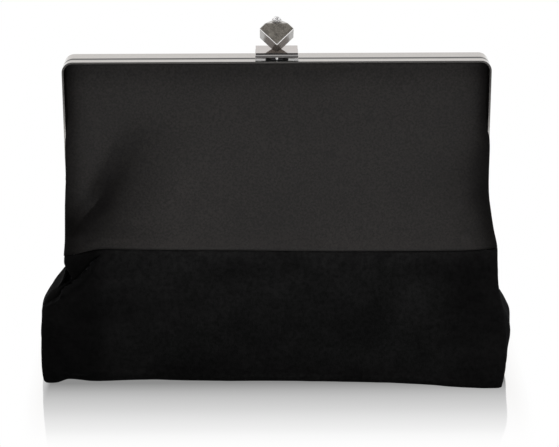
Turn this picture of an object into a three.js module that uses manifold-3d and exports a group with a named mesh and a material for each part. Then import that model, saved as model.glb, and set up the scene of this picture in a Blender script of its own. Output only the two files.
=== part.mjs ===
// Clutch purse: a soft leather bag hung on a two-part metal frame that hinges at the
// sides and is closed by a lever clasp with a cube-shaped knob.
// Millimetres. +X is the bag's right as seen from the front, -Y is the front, +Z is up.
// The origin is the centre of the base's underside.
import * as THREE from 'three';
import { mergeVertices } from 'three/addons/utils/BufferGeometryUtils.js';
import Module from 'manifold-3d';

const wasm = await Module();
wasm.setup();

// ---------- shared dimensions ----------
// Ranges are [low, high]; axes along X are [y, z]; axes along Z are [x, y].
const FRAME_HALF_W = 119.7;     // outside half width of the metal frame
const FRAME_TOP = 186;
const FRAME_WALL = 1.0;         // thickness of the strip the frame is bent from
const HINGE_AXIS = [-2, 116];
const HINGE_Z = HINGE_AXIS[1];
const HINGE_RIVET_R = 1.0;
const LEATHER_T = 1.2;
const LINING_T = 0.5;
const WALL_START_Z = 1.8;       // lower edge of the suede walls
const PIN_CLEAR = 0.05;         // radial clearance around rivets, pins and screws
const CUT_MARGIN = 0.5;         // how far a cutting tool runs past the surface it opens

const SIDES = [[-1, 'left'], [1, 'right']];
const FACES = [
  { side: -1, label: 'front', waistTop: 112, upperStart: 119, cordY: -4.6 },
  { side: 1, label: 'rear', waistTop: 109.5, upperStart: 120, cordY: 0.7 },
];

// ---------- materials ----------
const finish = (settings) => () => new THREE.MeshStandardMaterial(settings);
const polished = finish({ color: 0xc9c5c2, roughness: 0.12, metalness: 1 });
const gunmetal = finish({ color: 0x6b665f, roughness: 0.28, metalness: 1 });
const springSteel = finish({ color: 0xa8a6a2, roughness: 0.3, metalness: 1 });
const smoothLeather = finish({ color: 0x2a2828, roughness: 0.62, metalness: 0 });
const suede = finish({ color: 0x121111, roughness: 0.95, metalness: 0 });
const liningCloth = finish({ color: 0x1d1c1e, roughness: 0.8, metalness: 0 });
const board = finish({ color: 0x8c7f6c, roughness: 0.9, metalness: 0 });
const paperCord = finish({ color: 0x3a3632, roughness: 0.9, metalness: 0 });
const clearCrystal = finish({
  color: 0xf4f6fa, roughness: 0.02, metalness: 0, transparent: true, opacity: 0.35,
});

// ---------- solids and meshes ----------
function toSolid(shape) {
  if (!shape.isBufferGeometry) return shape;
  const bare = shape.clone();
  for (const key of Object.keys(bare.attributes)) {
    if (key !== 'position') bare.deleteAttribute(key);
  }
  const merged = mergeVertices(bare, 1e-5);
  return new wasm.Manifold(new wasm.Mesh({
    numProp: 3,
    vertProperties: new Float32Array(merged.attributes.position.array),
    triVerts: new Uint32Array(merged.index.array),
  }));
}

function toGeometry(shape) {
  if (shape.isBufferGeometry) return shape;
  const mesh = shape.getMesh();
  const geometry = new THREE.BufferGeometry();
  const positions = new Float32Array(mesh.vertProperties);
  geometry.setAttribute('position', new THREE.BufferAttribute(positions, 3));
  geometry.setIndex(new THREE.BufferAttribute(new Uint32Array(mesh.triVerts), 1));
  geometry.computeVertexNormals();
  return geometry;
}

const union = (...shapes) => shapes.map(toSolid).reduce((whole, part) => whole.add(part));
const cut = (base, ...tools) => tools.map(toSolid)
  .reduce((whole, tool) => whole.subtract(tool), toSolid(base));

const purse = new THREE.Group();
purse.name = 'clutch_purse';

// adds one mesh, with its own material, from a geometry or a solid
function add(name, shape, makeMaterial) {
  const mesh = new THREE.Mesh(toGeometry(shape), makeMaterial());
  mesh.name = name;
  purse.add(mesh);
}

// ---------- ranges ----------
// a range measured outward from the middle, placed on the left (-1) or right (+1)
const sideRange = (side, [near, far]) => (side > 0 ? [near, far] : [-far, -near]);
const centred = (half) => [-half, half];
const through = ([low, high]) => [low - CUT_MARGIN, high + CUT_MARGIN];

// ---------- basic shapes ----------
function box([x0, x1], [y0, y1], [z0, z1]) {
  const geometry = new THREE.BoxGeometry(x1 - x0, y1 - y0, z1 - z0);
  return geometry.translate((x0 + x1) / 2, (y0 + y1) / 2, (z0 + z1) / 2);
}

function cylinderX([x0, x1], [y, z], radius, segments = 16) {
  const geometry = new THREE.CylinderGeometry(radius, radius, x1 - x0, segments);
  return geometry.rotateZ(Math.PI / 2).translate((x0 + x1) / 2, y, z);
}

function cylinderZ([x, y], [z0, z1], radius) {
  const geometry = new THREE.CylinderGeometry(radius, radius, z1 - z0, 12);
  return geometry.rotateX(Math.PI / 2).translate(x, y, (z0 + z1) / 2);
}

const lathe = (profile, segments) => new THREE.LatheGeometry(
  profile.map(([radius, along]) => new THREE.Vector2(radius, along)), segments);

// solid of revolution about a vertical line; profile rows are [radius, z]
const latheZ = (profile, [x, y], segments) => lathe(profile, segments)
  .rotateX(Math.PI / 2).translate(x, y, 0);

// solid of revolution about a line along X; profile rows are [radius, distance out from X = 0]
const latheX = (profile, side, [y, z]) => lathe(profile, 16)
  .rotateZ(-side * Math.PI / 2).translate(0, y, z);

// prism along X from an outline of [y, z] points
function prismX(outline, [x0, x1]) {
  const shape = new THREE.Shape(outline.map(([y, z]) => new THREE.Vector2(y, z)));
  const geometry = new THREE.ExtrudeGeometry(shape, { depth: x1 - x0, bevelEnabled: false });
  // shape x -> Y, shape y -> Z, depth -> X
  return geometry.applyMatrix4(new THREE.Matrix4().set(
    0, 0, 1, x0,
    1, 0, 0, 0,
    0, 1, 0, 0,
    0, 0, 0, 1,
  ));
}

// box whose every vertex is moved by place(x, y, z), which returns the new [x, y, z]
function shapedBox(size, segments, place) {
  const geometry = new THREE.BoxGeometry(...size, ...segments);
  const points = geometry.attributes.position;
  for (let i = 0; i < points.count; i++) {
    points.setXYZ(i, ...place(points.getX(i), points.getY(i), points.getZ(i)));
  }
  return geometry;
}

// height at a share from -0.5 to 0.5 of the way from z0 to z1
const heightAt = ([z0, z1], share) => z0 + (z1 - z0) * (share + 0.5);

// ---------- the soft body's outside shape ----------
// smooth curve (cubic Hermite, flat at both ends) through [z, value] stations
function curveThrough(stations) {
  const last = stations.length - 1;
  const slopeAt = (i) => {
    if (i <= 0 || i >= last) return 0;
    const [zBefore, before] = stations[i - 1];
    const [zAfter, after] = stations[i + 1];
    return (after - before) / (zAfter - zBefore);
  };
  return (z) => {
    if (z <= stations[0][0]) return stations[0][1];
    for (let i = 0; i < last; i++) {
      const [z0, start] = stations[i];
      const [z1, end] = stations[i + 1];
      if (z <= z1) {
        const step = z1 - z0;
        const t = (z - z0) / step;
        const t2 = t * t;
        const t3 = t2 * t;
        return (2 * t3 - 3 * t2 + 1) * start + (t3 - 2 * t2 + t) * step * slopeAt(i)
          + (-2 * t3 + 3 * t2) * end + (t3 - t2) * step * slopeAt(i + 1);
      }
    }
    return stations[last][1];
  };
}

// rows are [z, half width]
const halfWidth = curveThrough([
  [0, 132], [4, 134.4], [12, 135.9], [36, 135.9], [46, 133.4], [58, 128],
  [77, 123], [98, 119.8], [112, 118.6],
]);
// rows are [z, half depth at the middle of the width]
const middleDepth = curveThrough([
  [0, 26.2], [8, 27.8], [20, 28.4], [45, 26.2], [77, 19.6], [98, 15],
  [112, 12.8], [119, 12.2], [150, 11.3], [183, 9.2],
]);
// rows are [z, half depth at the left and right edges]
const edgeDepth = curveThrough([
  [0, 25], [8, 26], [20, 26], [45, 23.2], [77, 16.4], [98, 11.8],
  [112, 9.9], [119, 9.3], [150, 8.6], [183, 8.6],
]);
const BULGE_POWER = 3.2;        // higher keeps the skin flatter across the middle

// half depth of the skin at a height and a sideways share from -1 to 1
const skinDepth = (share, z) => edgeDepth(z)
  + (middleDepth(z) - edgeDepth(z)) * (1 - Math.abs(share) ** BULGE_POWER);

// front (-1) or rear (+1) sheet following the skin, set in by `inset`;
// `half` is its half width as a function of z
function skinSheet({ side, zRange, half, columns, rows, inset = 0, thickness }) {
  return shapedBox([2, 1, 1], [columns, 1, rows], (share, depth, zShare) => {
    const isInner = depth * side < 0;
    const z = heightAt(zRange, zShare);
    const y = skinDepth(share, z) - inset - (isInner ? thickness : 0);
    return [share * half(z), side * y, z];
  });
}

// closed loft with the skin's plan outline, set in at the sides and at front and rear
function skinLoft(zRange, sideInset, faceInset) {
  return shapedBox([2, 2, 1], [8, 4, 7], (share, depthShare, zShare) => {
    const z = heightAt(zRange, zShare);
    return [
      share * (halfWidth(z) - sideInset),
      depthShare * (skinDepth(share, z) - faceInset),
      z,
    ];
  });
}

// ---------- bag body ----------
// rectangular plate with rounded corners in plan
function roundedPlate({ halfX, halfY, radius, thickness, curveSegments }) {
  const x = halfX - radius;
  const y = halfY - radius;
  const shape = new THREE.Shape();
  shape.moveTo(-x, -halfY);
  shape.lineTo(x, -halfY);
  shape.absarc(x, -y, radius, -Math.PI / 2, 0, false);
  shape.lineTo(halfX, y);
  shape.absarc(x, y, radius, 0, Math.PI / 2, false);
  shape.lineTo(-x, halfY);
  shape.absarc(-x, y, radius, Math.PI / 2, Math.PI, false);
  shape.lineTo(-halfX, -y);
  shape.absarc(-x, -y, radius, Math.PI, 1.5 * Math.PI, false);
  return new THREE.ExtrudeGeometry(shape, { depth: thickness, bevelEnabled: false, curveSegments });
}

function addBase() {
  const panelThickness = 1.5;
  const stiffenerGap = 0.4;
  add('base_panel', roundedPlate({
    halfX: 131.5, halfY: 25.2, radius: 14, thickness: panelThickness, curveSegments: 8,
  }), suede);
  add('base_stiffener', roundedPlate({
    halfX: 126, halfY: 21, radius: 10, thickness: 1.5, curveSegments: 6,
  }).translate(0, 0, panelThickness + stiffenerGap), board);
}

// suede below the seam and smooth leather above it
function addWalls({ side, label, waistTop }) {
  const seamZ = 76.8;
  const seamHalfGap = 0.2;
  const sheet = { side, half: halfWidth, columns: 10, thickness: LEATHER_T };
  add(`${label}_suede_panel`, skinSheet({
    ...sheet, zRange: [WALL_START_Z, seamZ - seamHalfGap], rows: 8,
  }), suede);
  add(`${label}_waist_panel`, skinSheet({
    ...sheet, zRange: [seamZ + seamHalfGap, waistTop], rows: 4,
  }), smoothLeather);
}

// side wall between the front and rear skins; it ends below the hinge axis
function addGusset([side, label]) {
  const zRange = [WALL_START_Z, 110];
  const skinGap = 0.5;
  add(`${label}_gusset`, shapedBox([1, 2, 1], [1, 2, 9], (across, depthShare, zShare) => {
    const isInner = across * side < 0;
    const z = heightAt(zRange, zShare);
    return [
      side * (halfWidth(z) - (isInner ? LEATHER_T : 0)),
      depthShare * (edgeDepth(z) - LEATHER_T - skinGap),
      z,
    ];
  }), suede);
}

function addPouch() {
  const bottom = 4;
  const top = 104;
  const wall = 0.6;
  const sideInset = 2.4;
  const faceInset = 2.3;
  // the cavity runs past the top to leave the pouch open
  add('lining_pouch', cut(
    skinLoft([bottom, top], sideInset, faceInset),
    skinLoft([bottom + wall, top + 6], sideInset + wall, faceInset + wall),
  ), liningCloth);
  add('slip_pocket', skinSheet({
    side: 1, zRange: [24, 78], half: () => 62, columns: 4, rows: 3,
    inset: 6.2, thickness: LINING_T,
  }), liningCloth);
}

// ---------- hinges ----------
// inner head, shank and outer head; rows are [radius, distance out from X = 0]
const HINGE_RIVET_PROFILE = [
  [0, 115.3], [1.5, 115.3], [1.9, 115.5], [1.9, 115.85],
  [HINGE_RIVET_R, 115.85], [HINGE_RIVET_R, 119.85],
  [2.3, 119.85], [2.2, 120.2], [1.3, 120.45], [0, 120.5],
];

const hingeHole = (xRange) => cylinderX(through(xRange), HINGE_AXIS, HINGE_RIVET_R + PIN_CLEAR);

function addHinge([side, label]) {
  add(`hinge_rivet_${label}`, latheX(HINGE_RIVET_PROFILE, side, HINGE_AXIS), polished);
  const washerX = sideRange(side, [116, 116.7]);
  add(`hinge_washer_${label}`,
    cut(cylinderX(washerX, HINGE_AXIS, 2.6), hingeHole(washerX)), springSteel);
}

// ---------- frame halves ----------
const FRONT_FRAME_Y = [-9, -2.2];   // the second value is the parting side
const REAR_FRAME_Y = [-1.8, 9.2];   // the first value is the parting side
const CORNER_R = 6;                 // outside radius of the two top corners
const MIN_CORNER_R = 0.8;
const FLANGE_IN = 5;                // how far the parting-side flange reaches inward
const FLANGE_T = 1;
const FLANGE_OVERLAP = 0.3;         // flange sunk into the strip
const FLANGE_END_Z = 122;
const EAR_R = 4.5;
const STRIP_X = [FRAME_HALF_W - FRAME_WALL, FRAME_HALF_W];
const REAR_EAR_X = [117, 118.3];

// rivets that hold the catch and clasp base to the frame top
const FRAME_RIVET_X = 9.6;
const FRAME_RIVET_HOLE_R = 0.9 + PIN_CLEAR;
const FRONT_RIVET_Y = -7.2;
const REAR_RIVET_Y = 4.6;

// arch in X and Z between two insets from the frame's outside, extruded along Y
function archSolid(outerInset, innerInset, endZ, [y0, y1]) {
  const edge = (inset) => {
    const radius = Math.max(CORNER_R - inset, MIN_CORNER_R);
    const half = FRAME_HALF_W - inset;
    const top = FRAME_TOP - inset;
    return { radius, half, top, arcX: half - radius, arcZ: top - radius };
  };
  const outer = edge(outerInset);
  const inner = edge(innerInset);
  const quarter = Math.PI / 2;
  const shape = new THREE.Shape();
  shape.moveTo(-outer.half, endZ);
  shape.lineTo(-inner.half, endZ);
  shape.lineTo(-inner.half, inner.arcZ);
  shape.absarc(-inner.arcX, inner.arcZ, inner.radius, Math.PI, quarter, true);
  shape.lineTo(inner.arcX, inner.top);
  shape.absarc(inner.arcX, inner.arcZ, inner.radius, quarter, 0, true);
  shape.lineTo(inner.half, endZ);
  shape.lineTo(outer.half, endZ);
  shape.lineTo(outer.half, outer.arcZ);
  shape.absarc(outer.arcX, outer.arcZ, outer.radius, 0, quarter, false);
  shape.lineTo(-outer.arcX, outer.top);
  shape.absarc(-outer.arcX, outer.arcZ, outer.radius, quarter, Math.PI, false);
  return new THREE.ExtrudeGeometry(shape, { depth: y1 - y0, bevelEnabled: false, curveSegments: 5 })
    .rotateX(Math.PI / 2)
    .translate(0, y1, 0);
}

const stripAndFlange = (stripY, flangeY) => union(
  archSolid(0, FRAME_WALL, HINGE_Z, stripY),
  archSolid(FRAME_WALL - FLANGE_OVERLAP, FRAME_WALL + FLANGE_IN, FLANGE_END_Z, flangeY),
);

const frameRivetHole = (side, y) => cylinderZ(
  [side * FRAME_RIVET_X, y], through([FRAME_TOP - FRAME_WALL, FRAME_TOP]), FRAME_RIVET_HOLE_R);

// strip, parting-side flange and outer ears
function addFrontFrame() {
  const [frontY, partingY] = FRONT_FRAME_Y;
  // [y, z] outline of the waste that tapers each leg towards its ear
  const taper = [[-12, 130], [-12, 110], [-6, 110], [-6.45, 117], [frontY, 130]];
  let frame = stripAndFlange(FRONT_FRAME_Y, [partingY - FLANGE_T, partingY]);
  for (const [side] of SIDES) {
    const stripX = sideRange(side, STRIP_X);
    frame = cut(frame, prismX(taper, through(stripX)));
    frame = union(frame, cylinderX(stripX, HINGE_AXIS, EAR_R, 24));
    frame = cut(frame, hingeHole(stripX), frameRivetHole(side, FRONT_RIVET_Y));
  }
  add('front_frame', frame, polished);
}

// strip cut back around the front ears, flange, and inner ears on joggled tabs
function addRearFrame() {
  const [partingY, rearY] = REAR_FRAME_Y;
  const frontEarClear = 0.4;
  // [y, z] outlines: waste that tapers each leg, and the tab above each ear
  const taper = [[12, 130], [12, 110], [2, 110], [4.4, 118], [rearY, 130]];
  const tab = [[partingY, HINGE_Z], [1.2, HINGE_Z], [5.2, 122.5], [6.2, 130], [partingY, 130]];
  let frame = stripAndFlange(REAR_FRAME_Y, [partingY, partingY + FLANGE_T]);
  for (const [side] of SIDES) {
    const stripX = through(sideRange(side, STRIP_X));
    const earX = sideRange(side, REAR_EAR_X);
    // the joggle joins the tab to the strip
    const joggleX = sideRange(side, [REAR_EAR_X[0], 119]);
    frame = cut(frame,
      cylinderX(stripX, HINGE_AXIS, EAR_R + frontEarClear, 24),
      prismX(taper, stripX));
    frame = union(frame,
      cylinderX(earX, HINGE_AXIS, EAR_R, 24),
      prismX(tab, earX),
      box(joggleX, [partingY, 6], [124, 130]));
    frame = cut(frame, hingeHole(earX), frameRivetHole(side, REAR_RIVET_Y));
  }
  add('rear_frame', frame, polished);
}

// ---------- leather, board, lining and cord held by each frame half ----------
function addUpper({ side, label, upperStart, cordY }) {
  const top = 182.6;
  add(`${label}_upper_panel`, skinSheet({
    side, zRange: [upperStart, top], half: () => 116.4, columns: 10, rows: 4,
    thickness: LEATHER_T,
  }), smoothLeather);
  add(`${label}_upper_stiffener`, skinSheet({
    side, zRange: [upperStart + 2, top - 1.5], half: () => 115, columns: 8, rows: 3,
    inset: LEATHER_T + 0.35, thickness: 0.8,
  }), board);
  add(`${label}_upper_lining`, skinSheet({
    side, zRange: [upperStart + 3, top - 2], half: () => 112.6, columns: 8, rows: 3,
    inset: LEATHER_T + 1.5, thickness: LINING_T,
  }), liningCloth);

  // square paper cord packed into the frame's channel
  const cordSize = 1.7;
  const cordInset = FRAME_WALL + 0.45;
  const cordEndZ = 133;
  add(`${label}_frame_cord`, archSolid(cordInset, cordInset + cordSize, cordEndZ,
    [cordY - cordSize / 2, cordY + cordSize / 2]), paperCord);
}

// ---------- fittings on the frame top ----------
const FITTING_HALF_W = 12;
const FITTING_Z = FRAME_TOP + 0.3;  // underside of the catch and the clasp base
const FITTING_TOP = 187.7;          // top of their raised end pads
const RIVET_TIP_Z = 187.2;

// head under the frame and shank; rows are [radius, z]
const FRAME_RIVET_PROFILE = [
  [0, 183.85], [1.1, 183.85], [1.5, 184.1], [1.5, 184.5],
  [0.9, 184.5], [0.9, RIVET_TIP_Z], [0, RIVET_TIP_Z],
];

// blind holes from below, one in each end pad
const padRivetHoles = (y) => SIDES.map(([side]) => cylinderZ([side * FRAME_RIVET_X, y],
  [FITTING_Z - CUT_MARGIN, RIVET_TIP_Z + 0.1], FRAME_RIVET_HOLE_R));

function addFrameRivets(prefix, y) {
  for (const [side, label] of SIDES) {
    add(`${prefix}_rivet_${label}`,
      latheZ(FRAME_RIVET_PROFILE, [side * FRAME_RIVET_X, y], 10), polished);
  }
}

// ---------- catch on the front half ----------
const SPRING_RIVET_AT = [0, -7.9];
const SPRING_HOLE_R = 0.5 + PIN_CLEAR;
// rows are [radius, z]
const SPRING_RIVET_PROFILE = [
  [0, 186.32], [0.5, 186.32], [0.5, 187.3], [0.8, 187.3], [0.75, 187.7], [0.35, 188], [0, 188.05],
];

function addCatch() {
  const housingY = [-8.8, -2.6];
  const floorZ = [FITTING_Z, FITTING_Z + 0.45];
  const pads = SIDES.map(([side]) => box(
    sideRange(side, [6.3, FITTING_HALF_W]), housingY, [FITTING_Z, FITTING_TOP]));
  add('catch_housing', cut(
    union(box(centred(FITTING_HALF_W), housingY, floorZ), ...pads),
    ...padRivetHoles(FRONT_RIVET_Y),
    cylinderZ(SPRING_RIVET_AT, through(floorZ), SPRING_HOLE_R),
  ), polished);

  // leaf with an upturned lip that snaps behind the clasp's tongue
  const leafX = centred(3.2);
  const leafZ = [186.95, 187.2];
  const [lipFront, lipRear] = [-5.15, -4.7];
  add('catch_spring', cut(
    union(
      box(leafX, [-8.6, lipRear], leafZ),
      box(leafX, [lipFront, lipRear], [leafZ[0], 187.95]),
    ),
    cylinderZ(SPRING_RIVET_AT, through(leafZ), SPRING_HOLE_R),
  ), springSteel);
  add('catch_spring_rivet', latheZ(SPRING_RIVET_PROFILE, SPRING_RIVET_AT, 10), polished);
  addFrameRivets('catch', FRONT_RIVET_Y);
}

// ---------- clasp base on the rear half ----------
const CLASP_AXIS = [7, 188];
const [CLASP_Y, CLASP_Z] = CLASP_AXIS;
const CLASP_PIN_R = 0.5;

const claspPinHole = (half) => cylinderX(
  through(centred(half)), CLASP_AXIS, CLASP_PIN_R + PIN_CLEAR, 12);

function addClaspBase() {
  const frontY = -1.4;
  const padInnerX = 6.8;
  const knuckleR = 0.9;
  let base = box(centred(FITTING_HALF_W), [frontY, 8.8], [FITTING_Z, FITTING_Z + 0.55]);
  for (const [side] of SIDES) {
    const padX = sideRange(side, [padInnerX, FITTING_HALF_W]);
    const knuckleX = sideRange(side, [padInnerX, 9.2]);
    base = union(base,
      box(padX, [frontY, CLASP_Y], [FITTING_Z, FITTING_TOP]),
      cylinderX(knuckleX, CLASP_AXIS, knuckleR),
      box(knuckleX, [CLASP_Y - knuckleR, CLASP_Y + knuckleR], [FITTING_Z, CLASP_Z - 0.1]));
  }
  base = cut(base, claspPinHole(FITTING_HALF_W), ...padRivetHoles(REAR_RIVET_Y));
  add('clasp_base', base, polished);
  addFrameRivets('clasp', REAR_RIVET_Y);
  add('clasp_pin', cylinderX(centred(9.4), CLASP_AXIS, CLASP_PIN_R, 12), springSteel);
}

// ---------- clasp lever ----------
const CENTRE = [0, 0];
const SCREW_R = 0.8;
const SCREW_HOLE_R = SCREW_R + PIN_CLEAR;

function addClaspPlate() {
  const topZ = 190.5;
  const undersideZ = topZ - 0.9;
  const lowerZ = undersideZ - 1.2;    // underside of the lower layer
  const barrelHalf = 5.6;
  const plate = union(
    box(centred(11.75), [-7.7, 9], [undersideZ, topZ]),
    // lower layer, which steps out past the front edge
    box(centred(11.9), [-9.5, 4.4], [lowerZ, undersideZ]),
    // tongue
    box(centred(4), [-6.7, -5.9], [187.45, undersideZ]),
    // barrel on the clasp pin, and the web that joins it to the plate
    cylinderX(centred(barrelHalf), CLASP_AXIS, 0.95),
    box(centred(barrelHalf), [CLASP_Y - 0.8, CLASP_Y + 0.8], [CLASP_Z, undersideZ + 0.2]),
  );
  add('clasp_plate', cut(plate,
    claspPinHole(barrelHalf),
    cylinderZ(CENTRE, through([lowerZ, topZ]), SCREW_HOLE_R),
    // recess for the knob screw's head
    cylinderZ(CENTRE, [lowerZ - CUT_MARGIN, undersideZ - 0.1], 2),
  ), polished);
}

// a cube standing on one corner, its lowest and highest corners cut flat
function addKnob() {
  const edge = 13.6;
  const apexZ = 188.2;              // where the cube's lowest corner would be
  const bottomZ = 190.6;
  const topZ = 206.5;
  const holeTop = 197;
  const cube = new THREE.BoxGeometry(edge, edge, edge);
  const cornerUp = new THREE.Quaternion().setFromUnitVectors(
    new THREE.Vector3(1, 1, 1).normalize(), new THREE.Vector3(0, 0, 1));
  cube.applyQuaternion(cornerUp);
  // turn about Z so that one upper face looks to the front
  const faceNormal = new THREE.Vector3(1, 0, 0).applyQuaternion(cornerUp);
  cube.rotateZ(-Math.PI / 2 - Math.atan2(faceNormal.y, faceNormal.x));
  cube.translate(0, 0, apexZ + edge * Math.sqrt(3) / 2);
  const wide = centred(20);
  add('clasp_knob', cut(cube,
    box(wide, wide, [apexZ - 3, bottomZ]),
    box(wide, wide, [topZ, topZ + 20]),
    cylinderZ(CENTRE, [bottomZ - CUT_MARGIN, holeTop], SCREW_HOLE_R),
  ), gunmetal);
}

// rows of the three profiles are [radius, z]
const KNOB_SCREW_PROFILE = [
  [0, 188.5], [1.7, 188.5], [1.8, 188.65], [1.8, 189.25],
  [SCREW_R, 189.25], [SCREW_R, 196.5], [0, 196.8],
];
const BEZEL_PROFILE = [
  [0, 206.6], [2.5, 206.6], [2.85, 206.8], [2.8, 207.6],
  [2.55, 207.7], [2.5, 207.35], [1.3, 206.9], [0, 206.9],
];
const CRYSTAL_PROFILE = [
  [0, 207.05], [1.1, 207.05], [2.4, 207.75], [2.4, 207.95], [1.35, 209.1], [0, 209.1],
];

// ---------- assembly ----------
addBase();
FACES.forEach(addWalls);
SIDES.forEach(addGusset);
addPouch();
SIDES.forEach(addHinge);
addFrontFrame();
addRearFrame();
FACES.forEach(addUpper);
addCatch();
addClaspBase();
addClaspPlate();
addKnob();
add('knob_screw', latheZ(KNOB_SCREW_PROFILE, CENTRE, 12), springSteel);
add('crystal_bezel', latheZ(BEZEL_PROFILE, CENTRE, 16), polished);
add('crystal', latheZ(CRYSTAL_PROFILE, CENTRE, 8), clearCrystal);

export default purse;
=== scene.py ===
"""A framed handbag: leather above, suede below, a metal frame and a clasp set with a clear stone.

X runs across the bag (left is -X), Y from the front (-Y) to the rear, Z up from the floor at 0.
Sheets are worked out in millimetres; nodes, lights and the camera are in metres.
"""
import math

import bpy
import numpy as np
from mathutils import Matrix, Vector


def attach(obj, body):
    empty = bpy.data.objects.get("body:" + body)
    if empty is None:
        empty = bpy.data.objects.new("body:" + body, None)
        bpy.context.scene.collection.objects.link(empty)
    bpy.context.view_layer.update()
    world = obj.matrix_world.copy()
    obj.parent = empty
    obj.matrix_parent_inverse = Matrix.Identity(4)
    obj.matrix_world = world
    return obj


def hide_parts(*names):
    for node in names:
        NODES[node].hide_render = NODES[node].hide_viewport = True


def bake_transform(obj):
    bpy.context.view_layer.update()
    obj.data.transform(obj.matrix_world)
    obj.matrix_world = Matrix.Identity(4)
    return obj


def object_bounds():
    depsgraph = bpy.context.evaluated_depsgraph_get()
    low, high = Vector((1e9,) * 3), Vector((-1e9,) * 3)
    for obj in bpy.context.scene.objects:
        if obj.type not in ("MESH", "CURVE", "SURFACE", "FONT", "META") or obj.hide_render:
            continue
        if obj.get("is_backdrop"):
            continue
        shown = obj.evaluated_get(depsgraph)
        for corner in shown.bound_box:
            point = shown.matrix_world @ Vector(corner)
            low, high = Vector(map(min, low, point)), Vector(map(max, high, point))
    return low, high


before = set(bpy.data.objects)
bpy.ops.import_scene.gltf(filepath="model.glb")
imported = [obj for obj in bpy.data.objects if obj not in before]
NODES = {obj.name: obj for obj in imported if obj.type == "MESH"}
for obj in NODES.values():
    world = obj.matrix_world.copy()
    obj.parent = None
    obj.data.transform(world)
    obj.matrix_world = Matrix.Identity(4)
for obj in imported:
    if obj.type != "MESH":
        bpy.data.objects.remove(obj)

CAD_BOX = [list(corner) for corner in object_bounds()]
MM = 0.001
FRONT, REAR = -1, 1
LEFT, RIGHT = -1, 1
scene = bpy.context.scene

# thickness of the sheets
LEATHER_T = 1.2
GUSSET_T = 1.0
BASE_T = 1.1
LINING_T = 0.4
POCKET_T = 0.5

FRAME_IN = 118.0  # half width of the leather inside the metal strip
TOP_IN = 184.85  # top of the leather inside the frame
CORNER_R = 4.6  # bend of the leather's top corners
REAR_SEAM_Z = 77.05
SEAM_GAP = 0.15  # from the seam to each sheet's edge
LEATHER_ROLL = 0.7  # how far the sheets' side borders turn back
SUEDE_ROLL = 1.4

# studio brightness, as seen by the bag
CARD = 0.24
ROOM = 0.07
STRIP = 4.0
TOP_BOX = 2.2
SIDE_BOX = 1.25
BACK_SWEEP = 0.86
FLOOR_FAR = 0.11
FLOOR_NEAR = 0.25
FLOOR_SIDE = 0.12

# camera: metres, degrees, and millimetres for the lens
CAM_SWING = 0.6
CAM_ROLL = -0.1
CAM_DOWN = 19.4
CAM_DISTANCE = 1.125
CAM_ASIDE = 0.0014
CAM_HEIGHT = 0.487
CAM_SENSOR = 36.0
CAM_LENS = 133.631485
CAM_SHIFT_Y = -0.01019678

# ---------------------------------------------------------------------------
# small numeric tools (millimetres)
# ---------------------------------------------------------------------------


def smooth(share):
    share = np.clip(share, 0, 1)
    return share * share * (3 - 2 * share)


def rise(value, start, width):
    """0 up to start, softly up to 1 a width above it."""
    return smooth((value - start) / width)


def fall(value, end, width):
    """1 a width below end, softly down to 0 at end and above."""
    return smooth((end - value) / width)


def ridge(offset, width):
    """Bell of height 1 around an offset of 0."""
    return np.exp(-((offset / width) ** 2))


def curve(stations):
    """Smooth curve through (place, value) stations, flat beyond its ends."""
    stations = np.array(sorted(stations), float)
    places, values = stations[:, 0], stations[:, 1]
    slopes = np.zeros(len(stations))
    slopes[1:-1] = (values[2:] - values[:-2]) / (places[2:] - places[:-2])

    def at(place):
        place = np.clip(np.asarray(place, float), places[0], places[-1])
        i = np.clip(np.searchsorted(places, place, side="right") - 1, 0, len(places) - 2)
        gap = places[i + 1] - places[i]
        share = (place - places[i]) / gap
        square, cube = share * share, share * share * share
        return (
            (2 * cube - 3 * square + 1) * values[i]
            + (cube - 2 * square + share) * gap * slopes[i]
            + (-2 * cube + 3 * square) * values[i + 1]
            + (cube - square) * gap * slopes[i + 1]
        )

    return at


def poly_distance(x, z, points):
    """Signed distance to an XZ polyline, positive on its right going along it,
    and the share run along it. The end pieces reach half their length further."""
    points = np.array(points, float)
    pieces = points[1:] - points[:-1]
    length = np.hypot(pieces[:, 0], pieces[:, 1])
    run = np.concatenate([[0], np.cumsum(length)])
    best = np.full(np.shape(x), 1e9)
    sign = np.ones(np.shape(x))
    along = np.zeros(np.shape(x))
    for k, (piece_x, piece_z) in enumerate(pieces):
        from_x, from_z = x - points[k, 0], z - points[k, 1]
        share = (from_x * piece_x + from_z * piece_z) / (length[k] ** 2)
        low = -0.5 if k == 0 else 0.0
        high = 1.5 if k == len(pieces) - 1 else 1.0
        held = np.clip(share, low, high)
        distance = np.hypot(from_x - held * piece_x, from_z - held * piece_z)
        side = np.sign(from_x * piece_z - from_z * piece_x)
        near = distance < best
        best = np.where(near, distance, best)
        sign = np.where(near, side, sign)
        run_here = (run[k] + np.clip(share, 0, 1) * length[k]) / run[-1]
        along = np.where(near, run_here, along)
    return best * sign, along


def bilinear(corner, i, j, share_i, share_j):
    """Blend of the four corner values around (i, j)."""
    return (
        corner(i, j) * (1 - share_i) * (1 - share_j)
        + corner(i + 1, j) * share_i * (1 - share_j)
        + corner(i, j + 1) * (1 - share_i) * share_j
        + corner(i + 1, j + 1) * share_i * share_j
    )


def lattice_noise(x, z, cell, seed):
    """Smooth seeded value noise, about -1..1."""
    table = np.random.RandomState(seed).uniform(-1, 1, (64, 64))
    place_x, place_z = x / cell + 100, z / cell + 100
    i, j = np.floor(place_x).astype(int), np.floor(place_z).astype(int)
    corner = lambda a, b: table[a % 64, b % 64]
    return bilinear(corner, i, j, smooth(place_x - i), smooth(place_z - j))


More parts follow.
